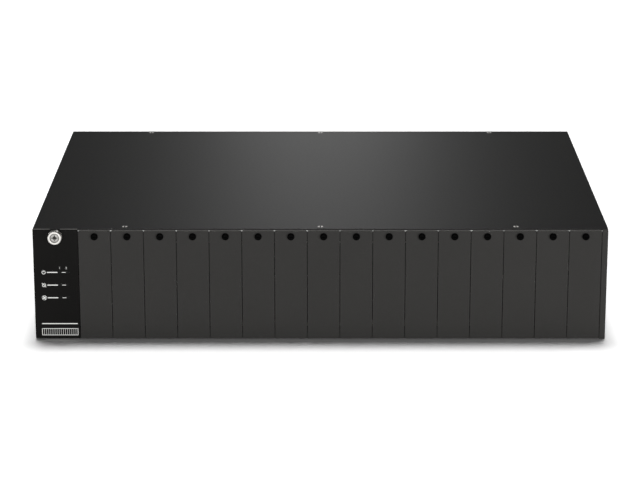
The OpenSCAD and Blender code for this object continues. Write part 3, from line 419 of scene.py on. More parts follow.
# %% [markdown]
# The body and the covers are painted with a black powder coat. Powder is sprayed on dry and
# melted in an oven, which leaves a satin skin with a very fine leathery grain and a slightly
# broader unevenness called orange peel. Grain and peel are two noises made into bumps, one
# over the other, and a third noise sprinkles a few paler specks.

# %% Powder coat
GRAIN = 2400
GRAIN_DEPTH = 0.006 * MM
PEEL = 380
PEEL_DEPTH = 0.003 * MM
CLOUD = 26
CLOUD_TONES = (0.97, 1.03)
SPECK = GRAIN * 0.6
SPECK_TONE = 1.5
SPECK_RANGE = (0.58, 0.8)
GLOSS_CLOUD = 500
GLOSS_DRIFT = 0.015
WORN_LIT_EDGE_TONE = 1.9


def powder_coat(name, colour, roughness, specular):
    coat = Finish(name, colour, roughness, specular=specular)
    soft = softened(coat)
    cloud = coat.blend(coat.spread(coat.noise(CLOUD, detail=3), 0, 1),
                       *(shade(colour, factor) for factor in CLOUD_TONES))
    speck = coat.spread(coat.noise(SPECK, detail=1), 0, 0.5, *SPECK_RANGE)
    paint = coat.blend(speck, cloud, shade(colour, SPECK_TONE))
    # The pale edges are partly wear and partly a painted highlight.
    coat.use("Base Color", coat.blend(worn_edge(coat, soft), paint, shade(colour, WORN_LIT_EDGE_TONE)))
    coat.gloss(GLOSS_CLOUD, roughness - GLOSS_DRIFT, roughness + GLOSS_DRIFT)
    peel = coat.bump(coat.noise(PEEL, detail=1), PEEL_DEPTH, 0.3, soft)
    coat.use("Normal", coat.bump(coat.noise(GRAIN), GRAIN_DEPTH, 0.4, peel))
    return coat.material


BODY_BLACK = (0.0092, 0.0089, 0.0085)
COVER_BLACK = (0.0212, 0.0205, 0.0193)
HANDLE_BLACK = (0.016, 0.016, 0.016)
body_coat = powder_coat("body_powder_coat", BODY_BLACK, 0.52, 0.15)
cover_coat = powder_coat("cover_powder_coat", COVER_BLACK, 0.56, 0.10)
handle_coat = powder_coat("handle_powder_coat", HANDLE_BLACK, 0.42, 0.5)
print("powder coats:", body_coat.name, cover_coat.name, handle_coat.name)

# %% [markdown]
# The status panel is covered with a printed film: polycarbonate, screen printed in solid
# black, with a fine matt texture on its face. It is darker than the paint beside it, because
# its smooth skin scatters hardly any light. The unlit lamps sit behind clear smoked windows,
# whose faint cells are the moulded lens inside.

# %% Film and lamps
FILM_BLACK = (0.0042, 0.0040, 0.0037)
LENS_BLACK = (0.006, 0.0065, 0.006)
LENS_TONES = ((0.008, 0.009, 0.008), (0.004, 0.0042, 0.004))
LENS_CELLS = 900

film = Finish("panel_film", FILM_BLACK, 0.45, specular=0.03)
film.gloss(scale=900, low=0.4, high=0.5)
film.grain(scale=3200, depth=0.006 * MM, strength=0.5, detail=1)
film.tone(40, shade(FILM_BLACK, 0.9), shade(FILM_BLACK, 1.1))

lens = Finish("smoked_lamp", LENS_BLACK, 0.2, specular=0.08)
cell = lens.spread(lens.cells(LENS_CELLS), 0, 1, start=0.1, end=0.6)
lens.use("Base Color", lens.blend(cell, *LENS_TONES))
lens.grain(scale=700, depth=0.01 * MM, strength=0.3)
print("film and lamps:", film.material.name, lens.material.name)

# %% [markdown]
# The hidden frame is galvanised sheet: steel dipped in zinc, which freezes in flat crystals
# called spangle. Each crystal mirrors the light its own way, so a Voronoi pattern gives every
# cell its own tone and gloss, with faint rolling marks along the sheet.

# %% Galvanised sheet
ROLLING = (14, 1, 1)
ROLL_MARKS = 700
ROLL_DEPTH = 0.01 * MM
CRYSTAL_GLOSS = (0.32, 0.5)


def galvanised(name, colour, spangle):
    zinc = Finish(name, colour, 0.42, metallic=0.85)
    lot = zinc.node("SeparateColor")
    zinc.join(zinc.pattern("Voronoi", spangle).outputs["Color"], lot.inputs["Color"])
    tone = zinc.blend(lot.outputs["Red"], shade(colour, 0.9), shade(colour, 1.1))
    rolled = zinc.noise(ROLL_MARKS, at=zinc.placed(stretch=ROLLING))
    zinc.use("Base Color", zinc.blend(zinc.spread(rolled, 0, 0.2), tone, shade(colour, 0.85)))
    zinc.use("Roughness", zinc.spread(lot.outputs["Green"], *CRYSTAL_GLOSS, 0, 1))
    zinc.use("Normal", zinc.bump(rolled, ROLL_DEPTH, 0.5))
    return zinc.material


zinc_sheet = galvanised("zinc_sheet", (0.5, 0.51, 0.52), 160)
supply_steel = galvanised("power_supply_steel", (0.56, 0.56, 0.55), 230)
print("spangle on", zinc_sheet.name, "and", supply_steel.name)

# %% [markdown]
# The two front rails are galvanised too, but they are painted with the box, because slivers of
# them show in the seams between the covers. Only a narrow band along the top is left bare
# zinc, which shows as small pale dots at the tops of the seams. A test on height draws the
# line between the two.

# %% Painted rails
BARE_BAND = 2.1 * MM
PAINT_LINE = 0.1 * MM
RAIL_BLACK = (0.009, 0.0088, 0.0084)
RAIL_TONES = ((0.008, 0.0078, 0.0075), (0.011, 0.0107, 0.0102))
BARE_ZINC = (0.4, 0.4, 0.39)
BARE_METALLIC = 0.6

bare_from = cad_high.z - BARE_BAND
rail = Finish("painted_rail", RAIL_BLACK, 0.55, specular=0.12)
bare = rail.spread(rail.parts(rail.here)["Z"], 0, 1, bare_from, bare_from + PAINT_LINE)
rail_tone = rail.blend(rail.spread(rail.noise(60), 0, 1), *RAIL_TONES)
rail.use("Base Color", rail.blend(bare, rail_tone, BARE_ZINC))
rail.use("Metallic", rail.maths("MULTIPLY", bare, BARE_METALLIC))
rail.gloss(scale=400, low=0.45, high=0.6)
rail.grain(scale=1500, depth=0.01 * MM, strength=0.5)
print("rails are bare above", round(bare_from / MM, 2), "mm")

# %% [markdown]
# Screws are small, and what tells them apart is their plating. The backplane's spacers and the
# pins of the fans are nickel: bright and slightly warm. The covers' screws are black zinc,
# almost without light. The earth screw is plain brass, and the fan guards are chromed wire.
# Plating shows polishing scratches and faint stains, which are two noises.

# %% Platings
NICKEL = (0.50, 0.49, 0.47)
SCRATCH_DEPTH = 0.008 * MM
STAIN = 220


def plated(name, colour, roughness, grain=1600, metallic=1.0):
    metal = Finish(name, colour, roughness, metallic=metallic)
    scratch = metal.noise(grain)
    metal.use("Roughness", metal.spread(scratch, roughness * 0.8, roughness * 1.3))
    metal.use("Normal", metal.bump(scratch, SCRATCH_DEPTH, 0.4))
    metal.tone(STAIN, shade(colour, 0.9), colour)
    return metal.material


nickel = plated("nickel_plate", NICKEL, 0.25)
brass = plated("plain_brass", (0.62, 0.46, 0.2), 0.28)
wire = plated("chromed_wire", (0.66, 0.67, 0.68), 0.16, grain=900)
tinned = plated("tinned_contact", (0.7, 0.69, 0.66), 0.3)

black_zinc = Finish("black_zinc", (0.0006, 0.0006, 0.0006), 0.4, specular=0.015)
black_zinc.gloss(scale=1200, low=0.36, high=0.5)
black_zinc.grain(scale=1800, depth=SCRATCH_DEPTH, strength=0.4)
print("platings:", nickel.name, "black_zinc", brass.name, wire.name, tinned.name)

# %% [markdown]
# A thumbscrew's knob is nickel too, but it is turned on a lathe, so fine rings run round its
# axis, and its face is dished, with a groove round a screwdriver's cross. The rings are a Wave
# texture centred on each knob, which is why every knob has a material of its own. The dish,
# the groove and the heart of the cross are darkened in steps of the distance from the axis:
# painted shade, where the hollows fall into shadow.

# %% Turned knobs
KNOB_NICKEL = (0.43, 0.42, 0.40)
TURNING = 900
TURNING_WAVER = 0.6
TURNING_DEPTH = 0.01 * MM
DISH_R = 3.5 * MM
DISH_EDGE = 0.3 * MM
DISH_SHADE_TONE, GROOVE_SHADE_TONE, HEART_SHADE_TONE = 0.55, 0.2, 0.06
GROOVE_SHADE_REACH = (DISH_R * 0.75, DISH_R * 0.9)
HEART_SHADE_REACH = (DISH_R * 0.34, DISH_R * 0.5)
ALONG_AXIS = (1, 1000, 1)


def turned(name, colour, roughness, centre):
    """Metal turned on a lathe, with rings round an axis that runs along Y, and painted shade
    in its dished face.
    """
    metal = Finish(name, colour, roughness, metallic=1.0)
    ring = metal.pattern("Wave", TURNING, metal.placed(centre),
                         wave_type="RINGS", rings_direction="Y")
    ring.inputs["Distortion"].default_value = TURNING_WAVER
    metal.use("Roughness", metal.spread(ring.outputs["Fac"], roughness, roughness + 0.1, 0, 1))
    metal.use("Normal", metal.bump(ring.outputs["Fac"], TURNING_DEPTH, 0.35))
    tone = metal.blend(metal.spread(metal.noise(260), 0, 1), shade(colour, 0.92), colour)
    reach = metal.length(metal.placed(centre, ALONG_AXIS))
    # Painted shade: the dish, the groove and the heart of the cross are darkened in steps.
    dish = metal.spread(reach, 1, 0, DISH_R, DISH_R + DISH_EDGE)
    tone = metal.blend(dish, tone, shade(colour, DISH_SHADE_TONE))
    groove_shade = metal.maths("MULTIPLY", dish, metal.spread(reach, 0, 1, *GROOVE_SHADE_REACH))
    tone = metal.blend(groove_shade, tone, shade(colour, GROOVE_SHADE_TONE))
    heart_shade = metal.spread(reach, 1, 0, *HEART_SHADE_REACH)
    metal.use("Base Color", metal.blend(heart_shade, tone, shade(colour, HEART_SHADE_TONE)))
    return metal.material


print("knobs have a dish of", round(DISH_R / MM, 1), "mm")

# %% [markdown]
# The plastics differ in grain. Connectors and switches are moulded in spark-eroded tools,
# which leave a fine matt frost. Fan blades are smoother. The card guides are natural nylon,
# milky and a little translucent, so light sinks in and comes out softened.

# %% Plastics
FLOW = (1, 1, 3)
FLOW_MARKS = 60


def moulded(name, colour, roughness, grain=2200, depth=0.01 * MM):
    plastic = Finish(name, colour, roughness)
    plastic.grain(grain, depth, strength=0.5)
    plastic.gloss(300, roughness - 0.05, roughness + 0.06)
    flow = plastic.spread(plastic.noise(FLOW_MARKS, at=plastic.placed(stretch=FLOW)), 0, 1)
    plastic.use("Base Color", plastic.blend(flow, shade(colour, 0.9), shade(colour, 1.1)))
    return plastic


connector = moulded("connector_plastic", (0.018, 0.018, 0.019), 0.5).material
fan_black = moulded("fan_plastic", (0.02, 0.02, 0.021), 0.4, grain=1200).material
switch_black = moulded("switch_plastic", (0.014, 0.014, 0.014), 0.28, grain=2600,
                       depth=0.004 * MM).material
header_white = moulded("header_plastic", (0.6, 0.58, 0.52), 0.45).material
chip_black = moulded("chip_plastic", (0.022, 0.022, 0.023), 0.55).material
sleeve = moulded("lead_sleeve", (0.015, 0.015, 0.016), 0.6, grain=700).material

nylon = moulded("guide_nylon", (0.66, 0.64, 0.58), 0.42)
nylon.set("Subsurface Weight", 0.25)
nylon.set("Subsurface Scale", 1.5 * MM)
nylon.set("Subsurface Radius", (1, 0.9, 0.8))
print("six plastics and", nylon.material.name)

# %% [markdown]
# A circuit board is green because a thin lacquer covers its copper. Where copper runs below,
# the green is paler and stands a hair proud; small tinned rings mark the plated holes. A
# Brick pattern and two of Voronoi cells lay out the copper and the holes without drawing any
# real circuit. Each board lies flat across one axis, so its pattern is stretched along it.

# %% Circuit boards
TIN_RING = (0.42, 0.40, 0.33)
TRACKS = 130
TRACK_GAP = 0.03
COPPER_AREAS = 90
COPPER_RISE = 0.03 * MM
HOLES = 120


def circuit_board(name, lacquer, copper, flat):
    """A board that lies across the axis along which flat stretches its pattern."""
    board = Finish(name, lacquer, 0.3)
    at = board.placed(stretch=flat)
    track = board.pattern("Brick", TRACKS, at)
    track.inputs["Mortar Size"].default_value = TRACK_GAP
    area = board.cells(COPPER_AREAS, feature="DISTANCE_TO_EDGE", at=at)
    under = board.maths("MULTIPLY", board.spread(area, 0, 1, 0.03, 0.05),
                        board.spread(track.outputs["Fac"], 1, 0, 0, 1))
    ring = board.spread(board.cells(HOLES, at=at), 0.9, 0, 0.05, 0.07)
    board.use("Base Color", board.blend(ring, board.blend(under, lacquer, copper), TIN_RING))
    board.use("Normal", board.bump(under, COPPER_RISE, 0.6))
    board.gloss(scale=200, low=0.22, high=0.34)
    board.set("Coat Weight", 0.3)
    board.set("Coat Roughness", 0.15)
    return board.material


LACQUER = (0.008, 0.062, 0.024)
OVER_COPPER = (0.014, 0.10, 0.036)
status_green = circuit_board("status_board_green", LACQUER, OVER_COPPER, (9, 1, 1))
backplane_green = circuit_board("backplane_green", LACQUER, OVER_COPPER, (1, 9, 1))
supply_green = circuit_board("supply_board_green", (0.012, 0.06, 0.02), (0.025, 0.10, 0.03),
                             (1, 1, 9))
print("boards:", status_green.name, backplane_green.name, supply_green.name)

# %% [markdown]
# Now each piece gets its finish. Each name holds a word that tells what the piece is, so a
# short table pairs such words with materials, and a piece is matched by the first line that
# fits. Only the thumbscrews are not in the table, because each knob has its own material.

# %% Dress the pieces
DRESS = [
    (("backplane_spacers",), nickel),
    (("base_tray", "top_cover", "rear_panel", "_faceplate"), body_coat),
    (("slot_cover",), cover_coat),
    (("_front_rail",), rail.material),
    (("psu_rails", "guide_plate", "bulkhead"), zinc_sheet),
    (("card_guides",), nylon.material),
    (("backplane_board",), backplane_green),
    (("slot_power_plugs", "dock_sockets", "_inlet"), connector),
    (("frame_screws", "fan_screws"), black_zinc.material),
    (("fan_guards",), wire),
    (("fan_leads",), sleeve),
    (("ground_screw",), brass),
    (("_frame", "_rotor"), fan_black),
    (("status_panel",), film.material),
    (("status_board",), status_green),
    (("status_lamps",), lens.material),
    (("_case", "_lid"), supply_steel),
    (("_rocker",), switch_black),
    (("_handle",), handle_coat),
    (("_board",), supply_green),
]


def dress(piece, material):
    piece.data.materials.clear()
    piece.data.materials.append(material)


for name, piece in nodes.items():
    if "thumbscrew" in name:
        low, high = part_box(name)
        finish = turned(name + "_nickel", KNOB_NICKEL, 0.22, tuple((low + high) / 2))
    else:
        finish = next(m for words, m in DRESS if any(w in name for w in words))
    dress(piece, finish)
print("dressed", len(nodes), "pieces")

# %% [markdown]
# Some pieces are made of two things, such as a cover with its captive screw. The mesh stays as
# it is, and its faces are sorted by place: a test looks at each face's centre, and the faces
# that pass it get a further material.

# %% Sort faces
SLACK = 0.02 * MM


def sort_faces(name, material, belongs):
    """Gives material to the faces of a piece whose centre passes the test belongs."""
    piece = nodes[name]
    piece.data.materials.append(material)
    slot = len(piece.data.materials) - 1
    chosen = [face for face in piece.data.polygons if belongs(face.center)]
    for face in chosen:
        face.material_index = slot
    return len(chosen)


def middle_of(name):
    low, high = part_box(name)
    return (low + high) / 2


print("faces are sorted by their centres")

# %% [markdown]
# Every cover holds its own screw, which can't fall out. The screw is what stands before the
# plate or lies within a shank's radius of the screw's axis, and it is black zinc.

# %% Cover screws
SHANK_R = 1.6 * MM
SCREW_DROP = 5.7 * MM
HEAD_H = 2 * MM

front_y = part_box("slot_cover_01")[0].y + HEAD_H
screw_z = cad_high.z - SCREW_DROP
covers = sorted(name for name in nodes if name.startswith("slot_cover"))


def near_axis(p, x, z):
    """Whether a point lies within a shank's radius of an axis that runs along Y."""
    return math.hypot(p.x - x, p.z - z) < SHANK_R


for name in covers:
    mid_x = middle_of(name).x
    count = sort_faces(name, black_zinc.material,
                       lambda p, x=mid_x: p.y < front_y - SLACK or near_axis(p, x, screw_z))
print(len(covers), "covers, each with", count, "faces on its screw")

# %% [markdown]
# The tray is folded up beside the last cover into a narrow strip. It catches the same light as
# the covers in the photograph, so the faces of the strip get the covers' coat.

# %% Front strip
STRIP_X = 215.5 * MM
STRIP_DEPTH = 3.5 * MM

strip_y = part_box("slot_cover_01")[0].y + STRIP_DEPTH
count = sort_faces("base_tray", cover_coat, lambda p: p.x > STRIP_X and p.y < strip_y)
print(count, "faces on the strip beside the covers")

# %% [markdown]
# The covers and the status panel are cut from sheet with shears. Their top faces are painted a
# paler grey, partly for the thin powder on a cut edge and partly as a painted highlight of
# light from above, so a thin pale line runs along the front under the lid.

# %% Sheared and lit edges
EDGE_SLACK = 0.05 * MM
sheared_and_lit = plated("sheared_and_lit_edge", (0.2, 0.195, 0.185), 0.5, grain=900, metallic=0.0)

for name in covers + ["status_panel"]:
    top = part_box(name)[1].z
    # Only the top faces get the pale grey: a painted highlight as well as thin powder.
    sort_faces(name, sheared_and_lit, lambda p, z=top: p.z > z - EDGE_SLACK)
print("sheared top edges on", len(covers) + 1, "plates")

# %% [markdown]
# The six lid screws are painted over with the lid, and the middle of each head, all but the
# slot, is painted pale steel: a painted highlight that stands for the glints in its recess.
# One material serves all six: the X coordinate is wrapped at the screws' pitch and Y is
# measured from the nearer of the two rows, so that every screw lies at the pattern's origin.

# %% Lid screws
LID_SCREW_R = 2.8 * MM
GLINT_R = 2.0 * MM
SLOT_HALF = 0.4 * MM
GLINT_EDGE = 0.1 * MM
GLINT_STEEL = (0.7, 0.69, 0.66)

lid_low, lid_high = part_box("top_cover_screws")
lid_rows = (lid_low.y + LID_SCREW_R, lid_high.y - LID_SCREW_R)
lid_pitch = lid_high.x - LID_SCREW_R

lid_screw = Finish("painted_screw", BODY_BLACK, 0.5, specular=0.15)
place = lid_screw.parts(lid_screw.here)
along = lid_screw.maths("WRAP", place["X"], lid_pitch / 2, -lid_pitch / 2)
aside = [lid_screw.maths("ABSOLUTE", lid_screw.maths("SUBTRACT", place["Y"], y))
         for y in lid_rows]
flat_way = lid_screw.node("CombineXYZ")
lid_screw.join(along, flat_way.inputs["X"])
lid_screw.join(lid_screw.maths("MINIMUM", *aside), flat_way.inputs["Y"])
reach = lid_screw.length(flat_way.outputs["Vector"])
beside = lid_screw.maths("ABSOLUTE", along)
# The pale middle of each head is a painted highlight.
painted_glint = lid_screw.maths("MULTIPLY",
                         lid_screw.spread(reach, 1, 0, GLINT_R, GLINT_R + GLINT_EDGE),
                         lid_screw.spread(beside, 0, 1, SLOT_HALF, SLOT_HALF + GLINT_EDGE))
lid_screw.use("Base Color", lid_screw.blend(painted_glint, BODY_BLACK, GLINT_STEEL))
lid_screw.gloss(scale=1600, low=0.42, high=0.56)
lid_screw.grain(scale=1800, depth=0.006 * MM, strength=0.4)
dress(nodes["top_cover_screws"], lid_screw.material)
print("lid screws", round(lid_pitch / MM, 1), "mm apart")

# %% [markdown]
# Four kinds of piece have metal or white plastic in one place: a fan's hub turns on a steel
# pin, the power plugs in the bays end in tinned barrels, the fan leads end in white headers,
# and three tinned pins stand in each mains inlet.

# %% Contacts and headers
BARREL_L = 9 * MM
BARREL_SLACK = 0.1 * MM
HEADER_L = 8 * MM
# Half the size of the space that an inlet's three pins fill, and where its middle lies
PIN_ROOM = Vector((8.1, 6.3, 3.9)) * MM
PIN_DEPTH = 11.5 * MM
SOCKET_FALL = 11 * MM

for name in ("fan_1_rotor", "fan_2_rotor"):
    sort_faces(name, nickel, lambda p, hub=middle_of(name): near_axis(p, hub.x, hub.z))

barrel_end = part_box("slot_power_plugs")[0].y + BARREL_L
sort_faces("slot_power_plugs", tinned, lambda p: p.y < barrel_end - BARREL_SLACK)
header_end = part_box("fan_leads")[0].y + HEADER_L
sort_faces("fan_leads", header_white, lambda p: p.y <= header_end + SLACK)

for name in ("psu_1_inlet", "psu_2_inlet"):
    middle = middle_of(name)
    pins_at = Vector((middle.x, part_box(name)[1].y - PIN_DEPTH, middle.z - SOCKET_FALL))
    pins = sort_faces(name, tinned, lambda p, at=pins_at: all(
        abs(c - a) <= room + SLACK for c, a, room in zip(p, at, PIN_ROOM)))
print("contacts are tinned,", pins, "faces on each inlet's pins")

# %% [markdown]
# A power supply's board carries a transformer wound with yellow tape, capacitors in dark
# sleeves with bare aluminium tops, and an aluminium heat sink along one side. They are one
# piece with the board, so each is found again by where it stands.

# %% Parts on the power supplies' boards
aluminium = plated("brushed_aluminium", (0.62, 0.62, 0.63), 0.38, grain=1100)
can_sleeve = moulded("capacitor_sleeve", (0.012, 0.016, 0.035), 0.3).material
tape = moulded("transformer_tape", (0.52, 0.36, 0.05), 0.35, grain=600).material
BOARD_TOP = 13.6 * MM
CORE_HALF = 17.2 * MM
CORE_Y = (55 * MM, 86 * MM)
SINK_X = 41.8 * MM
# Each pair of cans has its distance from the board's middle, its Y, its radius and its top
CANS = ((27 * MM, 106.5 * MM, 9.2 * MM, 43.6 * MM), (27 * MM, 25 * MM, 5.2 * MM, 31.6 * MM))


def on_can(p, x, capped=False):
    """Whether a point is on a can, or on its top when capped is asked for."""
    return any(math.hypot(abs(p.x - x) - can_x, p.y - can_y) < r
               and p.z > (top - EDGE_SLACK if capped else BOARD_TOP)
               for can_x, can_y, r, top in CANS)


for k in (1, 2):
    name = "psu_%d_board" % k
    mid_x = middle_of("psu_%d_case" % k).x
    sort_faces(name, tape, lambda p, x=mid_x: (
        p.z > BOARD_TOP and abs(p.x - x) < CORE_HALF and CORE_Y[0] < p.y < CORE_Y[1]))
    sort_faces(name, can_sleeve, lambda p, x=mid_x: on_can(p, x))
    sort_faces(name, aluminium, lambda p, x=mid_x: on_can(p, x, capped=True))
    count = sort_faces(name, aluminium,
                       lambda p, x=mid_x: p.z > BOARD_TOP and p.x - x > SINK_X)
print(count, "faces on each heat sink")

# %% [markdown]
# The status board stands on edge behind its panel. It carries black chips, a black carrier
# that holds the lamps, and two aluminium brackets, above and below the carrier, by which the
# panel is screwed on.

# %% Parts on the status board
BOARD_T = 1.6 * MM
BOARD_SLACK = 0.01 * MM
CARRIER_END = -145.4 * MM
CARRIER_Z = (30.2 * MM, 56.8 * MM)
chip_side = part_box("status_board")[0].x + BOARD_T + BOARD_SLACK


def in_front(p):
    """Whether a point is on what stands at the front end of the board."""
    return p.x > chip_side and p.y < CARRIER_END


def level_with_lamps(p):
    return CARRIER_Z[0] < p.z < CARRIER_Z[1]


sort_faces("status_board", chip_black, lambda p: p.x > chip_side and p.y > CARRIER_END)
sort_faces("status_board", connector, lambda p: in_front(p) and level_with_lamps(p))
count = sort_faces("status_board", aluminium,
                   lambda p: in_front(p) and not level_with_lamps(p))
print(count, "faces on the status board's brackets")

# %% [markdown]
# The print on the status panel is white ink, laid through a screen and a few hundredths of a
# millimetre thick. It could be painted in the film's material, but real ink has an edge that
# catches light, so each mark is a thin mesh of its own. The marks take their places from the
# lamps and from the panel's corners.

# %% Ink
ink = Finish("white_ink", (0.72, 0.72, 0.70), 0.55)
ink.tone(1500, (0.62, 0.62, 0.60), (0.76, 0.76, 0.74))
ink.grain(scale=2600, depth=0.004 * MM, strength=0.5)

INK_T = 0.03 * MM
LINE_T = 0.42 * MM
BOLD_T = 0.7 * MM
LAMP_R = 1.3 * MM

panel_low, panel_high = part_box("status_panel")
lamps_low, lamps_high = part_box("status_lamps")
lamp_middle = middle_of("status_lamps")
lamp_columns = (lamps_low.x + LAMP_R, lamps_high.x - LAMP_R)
lamp_rows = (lamps_high.z - LAMP_R, lamp_middle.z, lamps_low.z + LAMP_R)
print("lamp rows at", [round(z / MM, 2) for z in lamp_rows], "mm")

# %% [markdown]
# Ink is laid on three faces: the panel's, the rear panel's and that of the mains inlets. Each
# is given by its Y and by the way it looks. A mark starts as a flat outline on the face, and
# an extrusion by the ink's thickness makes it a closed slab. What repeats is drawn once, and
# copies of it, each with its own mesh, are moved along the face.

# %% Laying ink
FRONT = (panel_low.y, -1)
REAR = (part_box("rear_panel")[1].y, 1)
INLET = (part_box("psu_1_inlet")[1].y, 1)


def settle(piece, name):
    """Applies a piece's turn and place to its mesh, and names it."""
    pick(piece)
    bpy.ops.object.transform_apply(location=True, rotation=True, scale=True)
    piece.name = name
    return piece


def thicken(stroke, on=FRONT):
    """Gives a flat mark the thickness of the ink, outwards."""
    pick(stroke)
    bpy.ops.object.mode_set(mode="EDIT")
    bpy.ops.mesh.select_all(action="SELECT")
    bpy.ops.mesh.normals_make_consistent(inside=False)
    bpy.ops.mesh.extrude_region_move(TRANSFORM_OT_translate={"value": (0, on[1] * INK_T, 0)})
    bpy.ops.mesh.select_all(action="SELECT")
    bpy.ops.mesh.normals_make_consistent(inside=False)
    bpy.ops.object.mode_set(mode="OBJECT")
    return stroke


def copied(mark, across=0.0, up=0.0):
    """A copy of a mark with its own mesh, moved along its face."""
    pick(mark)
    bpy.ops.object.duplicate()
    twin = bpy.context.object
    twin.location = (across, 0, up)
    return settle(twin, mark.name)


print("ink is", INK_T / MM, "mm thick")

# %% [markdown]
# Three kinds of mark are enough for every sign here. A bar is a plane stood up on the face. A
# ring is a circle whose edge is extruded and drawn inwards, and a gap may be left in it above
# its centre. A petal is a filled circle drawn out into an oval.

# %% Bars, rings and petals
RING_POINTS = 40
PETAL_POINTS = 20


def ink_bar(name, x, z, width, height, turn=0.0, on=FRONT):
    """A straight stroke."""
    let_go()
    bpy.ops.mesh.primitive_plane_add(size=1, location=(x, on[0], z),
                                     rotation=(math.pi / 2, turn, 0))
    stroke = bpy.context.object
    stroke.scale = (width, height, 1)
    return thicken(settle(stroke, name), on)


def ink_ring(name, x, z, outer, inner, gap=0.0, on=FRONT):
    """A ring, with the part above its centre and nearer the middle than gap left out."""
    let_go()
    bpy.ops.mesh.primitive_circle_add(vertices=RING_POINTS, radius=outer,
                                      location=(x, on[0], z), rotation=(math.pi / 2, 0, 0))
    ring = settle(bpy.context.object, name)
    bpy.ops.object.mode_set(mode="EDIT")
    bpy.ops.mesh.select_all(action="SELECT")
    bpy.ops.mesh.extrude_edges_move()
    bpy.ops.transform.resize(value=(inner / outer, 1, inner / outer),
                             center_override=(x, 0, z))
    bpy.ops.mesh.select_all(action="DESELECT")
    bpy.ops.object.mode_set(mode="OBJECT")
    for face in ring.data.polygons:
        face.select = face.center.z > z and abs(face.center.x - x) < gap
    bpy.ops.object.mode_set(mode="EDIT")
    bpy.ops.mesh.select_mode(type="FACE")
    bpy.ops.mesh.delete(type="FACE")
    bpy.ops.object.mode_set(mode="OBJECT")
    return thicken(ring, on)


def ink_petal(name, x, z, length, width, turn):
    """An oval mark that starts at a point and leans by turn."""
    let_go()
    middle = (x + length / 2 * math.cos(turn), FRONT[0], z + length / 2 * math.sin(turn))
    bpy.ops.mesh.primitive_circle_add(vertices=PETAL_POINTS, radius=0.5, fill_type="NGON",
                                      location=middle, rotation=(math.pi / 2, -turn, 0))
    petal = bpy.context.object
    petal.scale = (length, width, 1)
    return thicken(settle(petal, name))


print("bars, rings of", RING_POINTS, "points and petals of", PETAL_POINTS)

# %% [markdown]
# The marks of one sign are joined into one printed piece, which rides on the body that it is
# printed on and is given the white ink's finish.

# %% Printing


def print_marks(name, marks, body="status_module"):
    """Joins marks into one printed piece that rides on a body."""
    pick(marks[0])
    for mark in marks[1:]:
        mark.select_set(True)
    if len(marks) > 1:
        bpy.ops.object.join()
    piece = bpy.context.object
    piece.name = name
    dress(piece, ink.material)
    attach(piece, body)
    print(name, "has", len(piece.data.polygons), "faces")


print("signs are printed in", ink.material.name)

# %% [markdown]
# Each column of lamps has its number above it, for the power supply that it watches. A number
# is a text object in Blender's own plain letters, made a mesh and thickened like any mark. A
# dash stands between the two lamps of each row.

# %% Numbers and dashes
NUMBER_RISE = 2.7 * MM
NUMBER_SHIFT = 0.5 * MM
NUMBER_H = 1.7 * MM
CAP_SHARE = 0.7
DASH_W = 3.0 * MM


def ink_number(number, x, z):
    let_go()
    bpy.ops.object.text_add(location=(x, FRONT[0], z), rotation=(math.pi / 2, 0, 0))
    text = bpy.context.object
    text.data.body = str(number)
    text.data.align_x = "CENTER"
    text.data.size = NUMBER_H / CAP_SHARE
    pick(text)
    bpy.ops.object.convert(target="MESH")
    return thicken(settle(bpy.context.object, "number"))


def each_row(mark):
    """A mark of the first row of lamps, with a copy for each of the other rows."""
    return [mark] + [copied(mark, up=z - lamp_rows[0]) for z in lamp_rows[1:]]


numbers = [ink_number(k, x - NUMBER_SHIFT, lamp_rows[0] + NUMBER_RISE)
           for k, x in enumerate(lamp_columns, start=1)]
dash = ink_bar("dash", lamp_middle.x, lamp_rows[0], DASH_W, LINE_T)
print_marks("panel_numbers", numbers)
print_marks("panel_dashes", each_row(dash))

# %% [markdown]
# The first two rows of lamps tell whether power is there. Their signs are ones that any
# reader knows: the ring and stem of power, and the same crossed out for power that has
# failed. The ring and the stem are drawn once, and the second sign is a copy of them with a
# slash over it.

# %% Signs of power
SIGN_R = 1.5 * MM
SIGN_X = panel_low.x + 7.6 * MM
SIGN_GAP = 0.5 * MM
STEM_RISE = SIGN_R * 0.62
STEM_H = SIGN_R * 0.95
SLASH_L = SIGN_R * 3
SLASH_LEAN = math.radians(45)

ring = ink_ring("ring", SIGN_X, lamp_rows[0], SIGN_R, SIGN_R - LINE_T, gap=SIGN_GAP)
stem = ink_bar("stem", SIGN_X, lamp_rows[0] + STEM_RISE, LINE_T, STEM_H)
failed = [copied(mark, up=lamp_rows[1] - lamp_rows[0]) for mark in (ring, stem)]
failed.append(ink_bar("slash", SIGN_X, lamp_rows[1], SLASH_L, LINE_T, turn=SLASH_LEAN))
print_marks("power_sign", [ring, stem])
print_marks("power_failed_sign", failed)

# %% [markdown]
# The third row watches the fans, so its sign is a fan: a rim round four blades. The blade is
# drawn once, and its copies are turned in quarters about the hub. With no window open the
# rotate operator ignores the pivot setting, so it is told the centre to turn about.

# %% Sign of the fans
RIM_R = SIGN_R * 1.25
RIM_T = LINE_T * 0.6
BLADES = 4
BLADE_W = SIGN_R * 0.6
BLADE_LEAN = math.radians(35)

hub = (SIGN_X, FRONT[0], lamp_rows[2])
rim = ink_ring("rim", SIGN_X, lamp_rows[2], RIM_R, RIM_R - RIM_T)
blades = [ink_petal("blade", SIGN_X, lamp_rows[2], SIGN_R, BLADE_W, BLADE_LEAN)]
for quarter in range(1, BLADES):
    blades.append(copied(blades[0]))
    bpy.ops.transform.rotate(value=math.tau * quarter / BLADES, orient_axis="Y",
                             center_override=hub)
    settle(blades[-1], "blade")
print_marks("fan_failed_sign", [rim] + blades)

# %% [markdown]
# A bold line leads from each sign to its lamps, so that the eye doesn't slip to another row.

